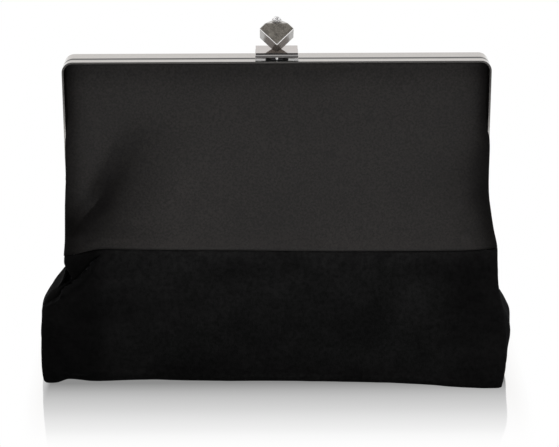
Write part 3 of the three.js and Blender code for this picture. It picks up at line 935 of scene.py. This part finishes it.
def front_out(x, z, left, right):
    """How far the front skin stands out in front of y = 0, without its rolled border."""
    half = np.where(x < 0, left, right)
    depth = profile(z, np.clip(np.abs(x) / half, 0, 1))
    depth = depth + bottom_out(x) * np.clip(1 - z / 62, 0, 1) ** 1.4
    # soft diagonal hollow on the left of the upper panel, with a groove and a swelling
    dist, along = poly_distance(x, z, FOLD)
    fade = 1 - rise(along, 0.3, 0.7)
    beyond = fall(dist, -8, 14) * rise(z, 98, 14)
    depth = depth - 1.9 * fall(dist, 6.5, 13) * (1 - beyond) * fade * rise(z, 74, 8)
    depth = depth - 0.9 * ridge(dist, 4.6) * fade**0.5 * rise(z, 78, 8)
    depth = depth + 0.5 * ridge(dist - 13, 8) * fade
    # the lower left corner turns away towards the side
    depth = depth - 3.2 * fall(x, -86, 34) * fall(z, 114, 16) * rise(z, 70, 8)
    # faint hollow at the upper end of the fold
    depth = depth - 0.35 * blob(x, z, -70, 143, 14, 3.5, 62)
    # long soft waves of an unpadded panel
    depth = depth + 0.16 * lattice_noise(x, z * 1.3, cell=46, seed=3)
    return depth + 0.07 * lattice_noise(x, z, cell=21, seed=5)


def pillow(x, z, left, right, left_reach=14.0, right_reach=23.0):
    """The stuffed panel falls away softly towards the frame."""
    near_left = np.clip(1 - (left + x) / left_reach, 0, 1)
    near_right = np.clip(1 - (right - x) / right_reach, 0, 1)
    near_top = np.clip(1 - (TOP_IN - z) / 17.0, 0, 1)
    drop = edge_depth(z) - border_depth(z)
    return drop * (near_left**2 + near_right**2) + 0.6 * near_top**2


def leather_skin(x, z):
    """Depth of the front leather before its border rolls back."""
    left, right = leather_left(z), leather_right(z)
    return front_out(x, z, left, right) - pillow(x, z, left, right)


def suede_skin(x, z):
    """Depth of the front suede before its border rolls back."""
    left, right = suede_left(z), suede_right(z)
    depth = front_out(x, z, np.maximum(left, 122), right)
    return depth - pillow(
        x, z, np.maximum(left, 121.9), right, left_reach=12.0, right_reach=18.0
    )


def border_skin(side, z):
    """Depth of the front sheets' border on the left or right."""
    upper = leather_skin(-leather_left(z) if side == LEFT else leather_right(z), z)
    lower = suede_skin(-suede_left(z) if side == LEFT else suede_right(z), z)
    upper, lower = upper - LEATHER_ROLL, lower - SUEDE_ROLL
    return lower + (upper - lower) * rise(z, 74, 6)


def leather_tone(side, grid):
    """Painted shade: darker borders and the shaded hollow of the front fold, as a share of the
    open panel's tone."""
    x, z = grid[..., 0], grid[..., 2]
    left, right = (edge(z) for edge in LEATHER_SIDES[side])
    near_top = rise(z, 120, 40)
    # the painted border shade narrows where a distance is stretched
    from_left = (left + x) * (1 + 0.3 * near_top)
    from_right = (right - x) * (1 + 1.1 * near_top + 0.25 * fall(z, 108, 16))
    tone = np.interp(from_left, *LEFT_TONE)
    tone = tone * np.interp(from_right, *RIGHT_TONE)
    tone = tone * np.interp(TOP_IN - z, *TOP_TONE)
    if side == FRONT:
        offset = poly_distance(x, z, FOLD)[0] + 3.0
        on_right = np.interp(offset * (1 - 0.25 * fall(z, 100, 14)), *FOLD_RIGHT)
        on_left = np.maximum(np.interp(-offset, *FOLD_LEFT), fall(z, 106, 20))
        on_left = on_left * (1 - 0.35 * ridge(z - 102, 9))
        shadow = np.where(offset > 0, on_right, on_left)
        tone = tone * (1 - np.interp(z, *FOLD_STRENGTH) * shadow)
    return np.clip(tone, 0.16, 1.1)


def suede_tone(side, grid):
    """Painted shade and the nap's own patches: lighter under the seam, darker near the floor and
    at the front's ends and in the pleat; the patches and mottle are nap lying different ways."""
    x, z = grid[..., 0], grid[..., 2]
    tone = np.interp(z, *SUEDE_TONE)
    if side == FRONT:
        tone = tone * (1 - 0.6 * fall(x, -90, 18)) * (1 - 0.3 * rise(x, 92, 16))
        tone = tone * add_blobs(1, x, z, LIGHT_PATCHES)
        # the pleat: painted shade on the flap, darker painted shade in the crease, a painted
        # highlight on the body beside it
        dist, along = poly_distance(x, z, CREASE)
        flap = rise(dist, -0.5, 1.5) * smooth(along * 3 + 0.1) * rise(z, 56, 3)
        crease = ridge(dist - 0.9, 1.5) * smooth(along * 3)
        tone = tone * (1 - 0.4 * flap) * (1 - 0.75 * crease)
        tone = tone * (1 + 0.25 * ridge(dist + 3.5, 2.4) * smooth(along * 2))
        tone = tone * add_blobs(1, x, z, DARK_PATCHES)
    mottle = 0.1 * lattice_noise(x, z * 1.4, cell=19, seed=91)
    mottle = mottle + 0.07 * lattice_noise(x, z, cell=7, seed=92)
    return np.clip(tone * (1 + mottle), 0.2, 1.7)


# ---------------------------------------------------------------------------
# outer sheets
# ---------------------------------------------------------------------------


def leather_sheet(side, rows=150, cols=190):
    """Leather from the seam up into the frame, one piece."""
    sides = LEATHER_SIDES[side]
    up = np.linspace(0, 1, rows)[:, None]
    up = smooth(up) * 0.35 + up * 0.65
    across = crowded(cols, 0.55)
    x = across * 120 + np.zeros((rows, cols))
    # x and z depend on each other, so they settle in a few rounds
    for _ in range(3):
        bottom = seam(side, x) + SEAM_GAP
        z = bottom + (TOP_IN - bottom) * up
        # rounded top corners follow the frame's bend
        bend = np.clip((z - (TOP_IN - CORNER_R)) / CORNER_R, 0, 1)
        inset = CORNER_R * (1 - np.sqrt(np.clip(1 - bend * bend, 0, 1)))
        x = across * (half_width(sides, across, z) - inset)
    full = half_width(sides, across, z)
    if side == FRONT:
        depth = leather_skin(x, z)
    else:
        depth = profile(z, np.clip(np.abs(x) / full, 0, 1))
        depth = depth + 0.5 * lattice_noise(x + 500, z * 1.2, cell=50, seed=11)
        depth = depth + 0.25 * lattice_noise(x, z + 90, cell=22, seed=12)
        depth = add_blobs(depth, x, z, REAR_LEATHER_BLOBS)
        depth = depth - pillow(x, z, *(edge(z) for edge in sides))
    depth = depth - rolled(full - np.abs(x), radius=1.5, back=LEATHER_ROLL)
    depth = depth - rolled(TOP_IN - z, radius=0.8, back=0.4)
    # pinched in along the seam
    above = z - (seam(side, x) + SEAM_GAP)
    depth = depth - 0.7 * ridge(above, 0.7) + 0.2 * ridge(above - 2.6, 1.8)
    return np.stack([x, side * depth, z], axis=2)


def add_pleat(x, z, depth):
    """Tucked pleat at the lower left: the flap sinks, the body below the crease stands
    proud of it and laps over it."""
    dist, along = poly_distance(x, z, CREASE)
    strength = smooth(along * 2.2 + 0.12)
    body = fall(dist, 0.9, 1.8)
    depth = depth + strength * (
        body * 4.4 * np.exp(-np.clip(-dist, 0, None) / 17)
        - (1 - body) * 3.0 * ridge(np.clip(dist, 0, None), 9)
        - 3.0 * ridge(dist - 0.5, 0.9)
    )
    reach = np.where(dist < 0.4, np.exp(-np.clip(0.4 - dist, 0, None) / 2.2), 0)
    lap = 1.5 * strength * reach
    x = x - lap * 0.72
    z = z + lap * 0.69
    # raised fold of the flap's outer edge
    edge_dist, _ = poly_distance(x, z, FLAP_EDGE)
    depth = depth + 1.0 * ridge(edge_dist, 1.1) * rise(z, 58.6, 1.6)
    return x, z, depth


def suede_sheet(side, rows=140, cols=290, bottom=0.2):
    """Suede from the floor up to the seam."""
    sides = SUEDE_SIDES[side]
    up = 1 - (1 - np.linspace(0, 1, rows)[:, None]) ** 1.02
    across = crowded(cols, 0.5)
    x = across * 125 + np.zeros((rows, cols))
    for _ in range(4):
        z = bottom + (seam(side, x) - SEAM_GAP - bottom) * up
        x = across * half_width(sides, across, z)
    if side == FRONT:
        x, z, depth = add_pleat(x, z, suede_skin(x, z))
        depth = add_blobs(depth, x, z, FRONT_SUEDE_BLOBS)
    else:
        depth = profile(z, np.clip(np.abs(x) / half_width(sides, across, z), 0, 1))
        depth = depth + 0.5 * lattice_noise(x + 300, z * 1.2, cell=44, seed=21)
        depth = add_blobs(depth, x, z, REAR_SUEDE_BLOBS)
        depth = depth - pillow(x, z, *(edge(z) for edge in sides), right_reach=18.0)
    depth = depth + 0.35 * lattice_noise(x + 40, z, cell=15, seed=31)
    depth = depth + 0.14 * lattice_noise(x, z, cell=7, seed=32)
    from_side = half_width(sides, across, z) - np.abs(x)
    depth = depth - rolled(from_side, radius=2.2, back=SUEDE_ROLL)
    # turned under at the bottom
    depth = depth - 1.1 * np.clip(1 - z / 2.2, 0, 1) ** 2
    # pinched in along the seam
    below = seam(side, x) - SEAM_GAP - z
    depth = depth - 0.9 * ridge(below, 0.8) + 0.3 * ridge(below - 3.0, 2.2)
    return np.stack([x, side * depth, z], axis=2)


def gusset_arch(across, z):
    """Share of the way from a gusset's edge to its mid line: full below, pointed above."""
    swell = fall(z, 62, 16)
    pointed = (1 - np.abs(across)) ** 1.15
    return swell * (1 - np.abs(across) ** 2.6) + (1 - swell) * pointed


def gusset_sheet(side, rows=96, cols=44):
    """One end of the bag; across runs from front to rear."""
    across, z = plain_grid(rows, cols, 0.6, 111.0)
    rear_lower, rear_upper = (
        (rear_suede_left, rear_left) if side == LEFT else (rear_suede_right, rear_right)
    )
    rear_edge = np.where(z < 77, rear_lower(z), rear_upper(z)) - 0.7
    edge = np.where(across < 0, gusset_edge[side](z), rear_edge)
    x = edge + (gusset_mid[side](z) - edge) * gusset_arch(across, z)
    reach = border_depth(z) - 1.8
    skin = border_skin(side, z) - 1.0
    # the left front edge leaves the front sheets' border around the pleat
    follow = np.maximum(fall(z, 40, 10), rise(z, 66, 8)) if side == LEFT else 1.0
    y = across * np.where(across < 0, reach + (skin - reach) * follow, reach)
    swell = fall(z, 62, 16)
    x = x + 0.5 * lattice_noise(y * 1.4 + 70, z, cell=13, seed=41 + side) * swell
    x = x + 0.25 * lattice_noise(y + 9, z, cell=6, seed=43 + side) * swell
    # drawn in at the foot
    x = x - 0.9 * np.clip(1 - z / 3.0, 0, 1) ** 2
    return np.stack([side * x, y, z], axis=2)


def base_sheet(rows=40, cols=150, corner=9.0):
    """Bottom of the bag, with rounded corners and a rim turned up."""
    across, share = plain_grid(rows, cols, 0, 1)
    x = np.where(across < 0, across * 132.4, across * 129.6)
    front = -(profile(0, np.abs(across)) + bottom_out(x) - 1.6)
    rear = edge_depth(0) - 0.8
    end = (1 - np.abs(across)) * 131
    arc = corner - np.sqrt(np.clip(corner * corner - (corner - end) ** 2, 0, None))
    pull = np.where(end < corner, arc, 0)
    front, rear = front + pull, rear - pull
    y = front + (rear - front) * share
    rim = np.minimum(np.minimum(y - front, rear - y), end)
    z = 0.02 + 0.9 * np.clip(1 - rim / 2.6, 0, 1) ** 2
    return np.stack([x, y, z], axis=2)


grids = {
    "front_leather": leather_sheet(FRONT),
    "front_suede": suede_sheet(FRONT),
    "rear_leather": leather_sheet(REAR),
    "rear_suede": suede_sheet(REAR),
    "left_gusset": gusset_sheet(LEFT),
    "right_gusset": gusset_sheet(RIGHT),
}
tones = {
    "front_leather": leather_tone(FRONT, grids["front_leather"]),
    "rear_leather": leather_tone(REAR, grids["rear_leather"]),
    "front_suede": suede_tone(FRONT, grids["front_suede"]),
    "rear_suede": suede_tone(REAR, grids["rear_suede"]),
}

# cloth settings: pinned lines at the borders, slack, stiffness, frames run, share of gravity
SUEDE_DRAPE = dict(
    pin_rows=3, pin_cols=4, slack=0.012, stiffness=12, frames=18, gravity=0.35
)
LEATHER_DRAPE = dict(pin_rows=4, pin_cols=5, stiffness=14, frames=14, gravity=0.2)
GUSSET_DRAPE = dict(
    pin_rows=3, pin_cols=3, slack=0.02, stiffness=10, frames=14, gravity=0.3, cap=0.35, step=2
)
DRAPES = {
    "front_suede": dict(SUEDE_DRAPE, cap=1.6, seed=2),
    "front_leather": dict(LEATHER_DRAPE, slack=0.004, cap=0.8, seed=3),
    "rear_suede": dict(SUEDE_DRAPE, cap=2.0, seed=4),
    "rear_leather": dict(LEATHER_DRAPE, slack=0.005, cap=1.0, seed=5),
    "left_gusset": dict(GUSSET_DRAPE, seed=6),
    "right_gusset": dict(GUSSET_DRAPE, seed=7),
}
for name, settings in DRAPES.items():
    grids[name] = drape(grids[name], **settings)


def outer_shell(name, mat, flip):
    return shell(name, grids[name], LEATHER_T, mat, flip=flip, tone=tones[name])


def gusset_shell(name, flip, tone, mottle, seed):
    grid = grids[name]
    tone = tone + mottle * lattice_noise(grid[..., 1], grid[..., 2], cell=11, seed=seed)
    return shell(name + "_leather", grid, GUSSET_T, SUEDE, flip=flip, tone=tone)


front_leather = outer_shell("front_leather", LEATHER, flip=False)
rear_leather = outer_shell("rear_leather", LEATHER, flip=True)
front_suede = outer_shell("front_suede", SUEDE, flip=False)
rear_suede = outer_shell("rear_suede", SUEDE, flip=True)
# painted shade: the gussets' suede is darkened to a fixed share, the left more than the right, with
# a mottle of the nap
left_gusset = gusset_shell("left_gusset", flip=True, tone=0.22, mottle=0.06, seed=93)
right_gusset = gusset_shell("right_gusset", flip=False, tone=0.32, mottle=0.08, seed=94)
base_leather = shell("base_leather", base_sheet(), BASE_T, SUEDE, flip=True)

# ---------------------------------------------------------------------------
# lining
# ---------------------------------------------------------------------------


def lining_sheet(side, rows=120, cols=90):
    """One cloth for the front or rear, from the frame down to the bottom."""
    across, z = plain_grid(rows, cols, 5.0, 181.0)
    wide = lining_width(z)
    x = across * wide
    share = np.abs(across)
    depth = profile(z, share) - 3.4 - 1.2 * fall(z, 40, 40)
    # hangs in soft vertical folds
    folds = 0.55 * lattice_noise(x + 30, z * 0.18, cell=13, seed=51 + side)
    folds = folds + 0.3 * lattice_noise(x, z * 0.3, cell=6, seed=53)
    depth = depth - (0.5 + folds) * fall(z, 174, 20) * rise(z, 4, 10) * 0.9
    depth = depth - rolled((1 - share) * wide, radius=8, back=2.5)
    if side == FRONT:
        # stays behind the leather
        depth = np.where(z > 70, np.minimum(depth, leather_skin(x, z) - 2.4), depth)
    return np.stack([x, side * depth, z], axis=2)


def lining_side(side, rows=60, cols=30):
    """Cloth inside a gusset; across runs from front to rear."""
    across, z = plain_grid(rows, cols, 5.0, 107.0)
    rear_edge = rear_suede_left if side == LEFT else rear_suede_right
    edge = np.minimum(gusset_edge[side](z), rear_edge(z)) - 3.0
    middle = gusset_mid[side](z) - 3.2
    x = np.minimum(edge + (middle - edge) * gusset_arch(across, z), 130)
    x = x - 0.4 * lattice_noise(across * 20, z * 0.3, cell=6, seed=61)
    rear = edge_depth(z) - 4.6
    front = np.minimum(rear, border_skin(side, z) - 3.4)
    return np.stack([side * x, across * np.where(across < 0, front, rear), z], axis=2)


def lining_floor(rows=24, cols=90):
    across, along = plain_grid(rows, cols, -1, 1)
    x, y = across * 126, along * 21.4
    rim = np.maximum(np.abs(across), np.abs(along)) ** 6
    z = 4.6 + 1.2 * rim + 0.25 * lattice_noise(x, y, cell=16, seed=71)
    return np.stack([x, y, z], axis=2)


def pocket_sheet(rows=36, cols=60):
    """Slip pocket on the rear lining, sagging forward at its mouth, with a turned hem."""
    across, z = plain_grid(rows, cols, 22, 78)
    x = across * 62
    depth = profile(z, np.abs(x) / 118) - 5.6 - 1.2 * fall(z, 40, 40)
    sag = 1.6 * rise(z, 50, 28) * (1 - across**2)
    depth = depth - sag - 0.3 * lattice_noise(x, z, cell=17, seed=81)
    z = z - sag
    depth = depth - 0.55 * rise(z, 71.5, 1.0)
    return np.stack([x, depth, z], axis=2)


def stitches(name, path, normal, length=2.2, gap=1.1, radius=0.17):
    """Row of short thread stitches lying along a path (n, 3), each a six-sided spindle
    half sunk in the cloth."""
    run = np.concatenate([[0], np.cumsum(np.linalg.norm(np.diff(path, axis=0), axis=1))])
    at = lambda place: np.array([np.interp(place, run, path[:, k]) for k in range(3)])
    # share of the length, share of the radius
    stations = [(0.0, 0.35), (0.18, 0.9), (0.5, 1.15), (0.82, 0.9), (1.0, 0.35)]
    verts, faces = [], []
    place = gap
    while place + length < run[-1]:
        start, end = at(place), at(place + length)
        along = (end - start) / max(np.linalg.norm(end - start), 1e-9)
        out = np.array(normal, float)
        out = out - along * (out @ along)
        out = out / np.linalg.norm(out)
        side = np.cross(along, out)
        first = len(verts)
        for share, width in stations:
            lift = out * radius * (0.2 + 0.5 * math.sin(math.pi * share))
            center = start + (end - start) * share + lift
            for k in range(6):
                angle = k * math.pi / 3
                spoke = side * math.cos(angle) + out * math.sin(angle)
                verts.append(center + spoke * radius * width)
        for ring in range(first, first + 24, 6):
            for k in range(6):
                a, b = ring + k, ring + (k + 1) % 6
                faces.append((a, b, b + 6, a + 6))
        faces.append(tuple(first + k for k in reversed(range(6))))
        faces.append(tuple(first + 24 + k for k in range(6)))
        place += length + gap
    return make_object(name, verts, faces, THREAD)


front_lining = shell("front_lining", lining_sheet(FRONT), LINING_T, LINING)
rear_lining = shell("rear_lining", lining_sheet(REAR), LINING_T, LINING, flip=True)
lining_left = shell("lining_left_side", lining_side(LEFT), LINING_T, LINING, flip=True)
lining_right = shell("lining_right_side", lining_side(RIGHT), LINING_T, LINING)
lining_bottom = shell("lining_floor", lining_floor(), LINING_T, LINING)
pocket_grid = pocket_sheet()
pocket = shell("inner_slip_pocket", pocket_grid, POCKET_T, LINING, flip=True)
hem = pocket_grid[-5] - np.array([0, 0.1, 0])
pocket_hem = stitches("pocket_hem_stitching", hem, normal=(0, -1, 0))

# ---------------------------------------------------------------------------
# metal, cord and board: CAD nodes kept, some with rounded edges
# ---------------------------------------------------------------------------


def finish(nodes, mats, bevel=0, segments=2, angle=50, edge_slot=None, clamp=True, flat=False):
    """Gives CAD nodes their materials and, where bevel (mm) is set, rounded edges."""
    for node in nodes:
        obj = NODES[node]
        polygons = obj.data.polygons
        obj.data.materials.clear()
        for mat in mats:
            obj.data.materials.append(mat)
        polygons.foreach_set("material_index", [0] * len(polygons))
        polygons.foreach_set("use_smooth", [not flat] * len(polygons))
        if not bevel:
            continue
        weld = obj.modifiers.new("Weld", "WELD")
        weld.merge_threshold = 0.000008
        rounding = obj.modifiers.new("Bevel", "BEVEL")
        rounding.width = bevel * MM
        rounding.segments = segments
        rounding.limit_method = "ANGLE"
        rounding.angle_limit = math.radians(angle)
        rounding.harden_normals = not flat
        rounding.use_clamp_overlap = clamp
        if edge_slot is not None:
            rounding.material = edge_slot


finish(["front_frame", "rear_frame"], [FRAME_METAL])
finish(["catch_housing"], [HOUSING])
finish(["clasp_base"], [METAL])
finish(["clasp_plate"], [PLATE_METAL])
RIVETS = [f"{part}_rivet_{end}" for part in ("hinge", "catch", "clasp") for end in ("left", "right")]
finish(RIVETS, [METAL], bevel=0.08)
STEEL_PARTS = ["hinge_washer_left", "hinge_washer_right", "clasp_pin", "knob_screw"]
finish(STEEL_PARTS, [STEEL], bevel=0.06)
finish(["catch_spring_rivet"], [RIVET_HEAD])
finish(["catch_spring"], [SPRING])
finish(
    ["clasp_knob"],
    [KNOB, METAL_BRIGHT],
    bevel=0.3,
    segments=1,
    angle=80,
    edge_slot=1,
    clamp=False,
    flat=True,
)
finish(["crystal_bezel"], [SATIN], bevel=0.06)
finish(["front_frame_cord", "rear_frame_cord"], [CORD], bevel=0.3, angle=40)
finish(["base_stiffener"], [BOARD], bevel=0.3, angle=40)


def brilliant(name, radius, z_culet, z_girdle, z_table, half_girdle=0.05):
    """Small round brilliant with flat facets; its axis is the Z axis."""
    verts, faces = [], []

    def ring(count, ring_radius, z, turn=0.0):
        """Adds a ring of points and returns the number of its first one."""
        first = len(verts)
        for k in range(count):
            angle = 2 * math.pi * (k + turn) / count
            verts.append((ring_radius * math.cos(angle), ring_radius * math.sin(angle), z))
        return first

    table = ring(8, radius * 0.55, z_table, turn=0.5)
    crown = ring(8, radius * 0.8, z_girdle + (z_table - z_girdle) * 0.55)
    upper = ring(16, radius, z_girdle + half_girdle)
    lower = ring(16, radius, z_girdle - half_girdle)
    pavilion = ring(8, radius * 0.45, z_girdle - (z_girdle - z_culet) * 0.6)
    culet = ring(8, radius * 0.08, z_culet)
    faces.append(tuple(table + k for k in range(8)))
    for k in range(8):
        after, before = (k + 1) % 8, (k - 1) % 8
        one, two, three = 2 * k, 2 * k + 1, (2 * k + 2) % 16
        faces += [
            (table + before, crown + k, table + k),
            (crown + k, crown + after, table + k),
            (crown + k, upper + one, upper + two),
            (crown + k, upper + two, crown + after),
            (crown + after, upper + two, upper + three),
            (lower + one, pavilion + k, lower + two),
            (lower + two, pavilion + k, pavilion + after),
            (lower + two, pavilion + after, lower + three),
            (pavilion + k, culet + k, culet + after, pavilion + after),
        ]
    for k in range(16):
        after = (k + 1) % 16
        faces.append((upper + k, lower + k, lower + after, upper + after))
    faces.append(tuple(culet + k for k in reversed(range(8))))
    obj = make_object(name, verts, faces, CRYSTAL)
    obj.data.polygons.foreach_set("use_smooth", [False] * len(obj.data.polygons))
    return obj


gem = brilliant("clear_stone", radius=2.4, z_culet=207.02, z_girdle=207.85, z_table=209.1)
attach(gem, "clasp_lever")
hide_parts("crystal")

# ---------------------------------------------------------------------------
# baked sheets, what the suede and inner pieces move with, and what the pieces stand for
# ---------------------------------------------------------------------------

# sheets listed with a frame half and the y of a bend, which are not used: only their transforms are
# baked
for obj, half, y in (
    (front_leather, "front_half", -0.012),
    (rear_leather, "rear_half", 0.012),
    (front_lining, "front_half", -0.010),
    (rear_lining, "rear_half", 0.010),
):
    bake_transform(obj)

suede_parts = (front_suede, rear_suede, left_gusset, right_gusset, base_leather)
inner_parts = (lining_left, lining_right, lining_bottom, pocket, pocket_hem)
for obj in suede_parts + inner_parts:
    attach(obj, "bag_body")

for obj, *replaced in (
    (front_leather, "front_upper_panel", "front_waist_panel", "front_upper_stiffener"),
    (rear_leather, "rear_upper_panel", "rear_waist_panel", "rear_upper_stiffener"),
    (front_suede, "front_suede_panel"),
    (rear_suede, "rear_suede_panel"),
    (left_gusset, "left_gusset"),
    (right_gusset, "right_gusset"),
    (base_leather, "base_panel"),
    (front_lining, "front_upper_lining"),
    (rear_lining, "rear_upper_lining"),
    (lining_bottom, "lining_pouch"),
    (pocket, "slip_pocket"),
):
    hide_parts(*replaced)

for slot, parts in (
    ("smooth_leather", (front_leather, rear_leather)),
    ("suede", suede_parts),
    ("lining_cloth", (front_lining, rear_lining) + inner_parts),
):
    for obj in parts:
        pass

# ---------------------------------------------------------------------------
# floor, light, world, camera
# ---------------------------------------------------------------------------

# (distance from the bag as a share of REFLECTION_REACH, strength of the floor's reflection)
REFLECTION = [
    (0.0, 0.74), (0.038, 0.68), (0.133, 0.55), (0.222, 0.46), (0.322, 0.39), (0.411, 0.33),
    (0.511, 0.25), (0.6, 0.19), (0.7, 0.13), (0.79, 0.06), (0.889, 0.02), (1.0, 0.0),
]
REFLECTION_REACH = 0.09
FOOT_X, FOOT_Y = 0.131, 0.027  # half size of the bag's footprint
SIDE_FADE = 6.0  # the reflection dies this much faster to the sides


def floor_material():
    """White to the camera, with a reflection that fades away from the bag. The bag itself
    sees a lit table top that ends in front of it and to both sides."""
    shade = new_shader("studio_floor")
    x, y, _ = shade.split(shade.add("NewGeometry").outputs["Position"])

    def beyond(place, limit):
        past = shade.calc("SUBTRACT", shade.calc("ABSOLUTE", place), limit)
        return shade.calc("MAXIMUM", past, 0.0)

    wide = shade.times(beyond(x, FOOT_X), SIDE_FADE)
    squares = shade.calc(
        "ADD", shade.calc("POWER", wide, 2), shade.calc("POWER", beyond(y, FOOT_Y), 2)
    )
    run = shade.calc("DIVIDE", shade.calc("SQRT", squares), REFLECTION_REACH)
    reflection = shade.ramp(run, REFLECTION)

    front_lit = shade.times(
        shade.span(y, -0.53, -0.44, FLOOR_FAR, 1.0),
        shade.span(shade.calc("ABSOLUTE", x), 0.22, 0.46, 1.0, FLOOR_SIDE),
    )
    front_lit = shade.times(front_lit, shade.span(y, -0.16, -0.04, 1.0, FLOOR_NEAR))
    seen = shade.calc("MAXIMUM", front_lit, shade.span(y, 0.06, 0.18))
    to_camera = shade.add("LightPath").outputs["Is Camera Ray"]
    strength = shade.add("Mix", {0: to_camera, 2: seen, 3: 1.0}, data_type="FLOAT").outputs[0]
    emission = shade.add("Emission", {"Color": (1, 1, 1), "Strength": strength})
    gloss = shade.add("BsdfGlossy", {"Roughness": 0.06, "Color": (1, 1, 1)})
    factor = shade.times(reflection, to_camera)
    mixed = shade.add("MixShader", {0: factor, 1: emission.outputs[0], 2: gloss.outputs[0]})
    shade.feed(shade.tree.nodes["Material Output"].inputs["Surface"], mixed.outputs[0])
    shade.tree.nodes.remove(shade.bsdf)
    return shade.mat


def add_floor():
    mesh = bpy.data.meshes.new("studio_floor")
    mesh.from_pydata([(-6, -6, 0), (6, -6, 0), (6, 6, 0), (-6, 6, 0)], [], [(0, 1, 2, 3)])
    mesh.materials.append(floor_material())
    floor = bpy.data.objects.new("studio_floor", mesh)
    floor.location = (0, 0, -0.0004)
    scene.collection.objects.link(floor)
    floor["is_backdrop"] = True


def add_area_light(name, place, target, size, energy):
    light = bpy.data.lights.new(name, "AREA")
    light.shape = "RECTANGLE"
    light.size, light.size_y = size
    light.energy = energy
    obj = bpy.data.objects.new(name, light)
    obj.location = place
    aim = Vector(target) - Vector(place)
    obj.rotation_euler = aim.to_track_quat("-Z", "Y").to_euler()
    scene.collection.objects.link(obj)


def add_world():
    """Studio seen by the bag, by direction; the camera sees plain white."""
    world = bpy.data.worlds.new("studio")
    scene.world = world
    world.use_nodes = True
    sky = Graph(world.node_tree)
    span, times = sky.span, sky.times
    x, y, z = sky.split(sky.add("TexCoord").outputs["Generated"])
    out_x = sky.calc("ABSOLUTE", x)
    # white sweep behind, up to about fifty degrees
    back = times(span(y, -0.05, 0.45), span(z, 0.52, 0.78, BACK_SWEEP, 0.0))
    # two tall softboxes at the sides
    side_box = times(span(out_x, 0.55, 0.7), span(z, 0.22, 0.36))
    side_box = times(side_box, span(z, 0.78, 0.88, SIDE_BOX, 0.0))
    # dim card above the camera
    card = times(span(y, -0.3, -0.5), span(z, 0.45, 0.6))
    card = times(card, span(z, 0.84, 0.94, CARD, 0.0))
    # low bright strips in front, to the left and right
    strips = times(
        times(span(out_x, 0.46, 0.5), span(out_x, 0.64, 0.68, 1.0, 0.0)),
        times(span(z, 0.16, 0.2), span(z, 0.36, 0.42, STRIP, 0.0)),
    )
    strips = times(strips, span(y, -0.55, -0.62))
    # box overhead, a little to the front
    top_box = times(span(z, 0.88, 0.91), span(y, -0.12, -0.18))
    top_box = times(top_box, span(out_x, 0.3, 0.36, TOP_BOX, 0.0))
    total = sky.calc(
        "MAXIMUM", sky.calc("MAXIMUM", back, side_box), sky.calc("ADD", card, ROOM)
    )
    total = sky.calc("MAXIMUM", total, sky.calc("MAXIMUM", strips, top_box))
    # slightly warm: less green and blue
    warm = {0: total, 1: times(total, 0.985), 2: times(total, 0.972)}
    studio = sky.tree.nodes["Background"]
    sky.feed(studio.inputs["Color"], sky.add("CombineColor", warm).outputs[0])
    studio.inputs["Strength"].default_value = 1.0
    white = sky.add("Background", {"Color": (1, 1, 1), "Strength": 1.0})
    to_camera = sky.add("LightPath").outputs["Is Camera Ray"]
    mixed = sky.add("MixShader", {0: to_camera, 1: studio.outputs[0], 2: white.outputs[0]})
    sky.feed(sky.tree.nodes["World Output"].inputs["Surface"], mixed.outputs[0])


def add_camera():
    """Camera in front, swung a little about the bag and looking down."""
    lens = bpy.data.cameras.new("camera")
    lens.sensor_width = CAM_SENSOR
    lens.lens = CAM_LENS
    lens.shift_y = CAM_SHIFT_Y
    lens.clip_start, lens.clip_end = 0.05, 30
    camera = bpy.data.objects.new("camera", lens)
    swing = math.radians(CAM_SWING)
    camera.location = (
        CAM_ASIDE * math.cos(swing) - CAM_DISTANCE * math.sin(swing),
        -CAM_DISTANCE * math.cos(swing),
        CAM_HEIGHT,
    )
    camera.rotation_euler = (
        Matrix.Rotation(-swing, 4, "Z")
        @ Matrix.Rotation(math.radians(90 - CAM_DOWN), 4, "X")
        @ Matrix.Rotation(math.radians(CAM_ROLL), 4, "Z")
    ).to_euler()
    scene.collection.objects.link(camera)
    scene.camera = camera


add_floor()
add_area_light(
    "overhead", place=(0.2, -0.2, 1.5), target=(0, 0, 0.1), size=(0.9, 0.5), energy=3.0
)
add_world()
scene.view_settings.view_transform = "Standard"
scene.view_settings.look = "None"
add_camera()

{"cad": CAD_BOX, "visual": [list(corner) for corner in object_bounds()]}
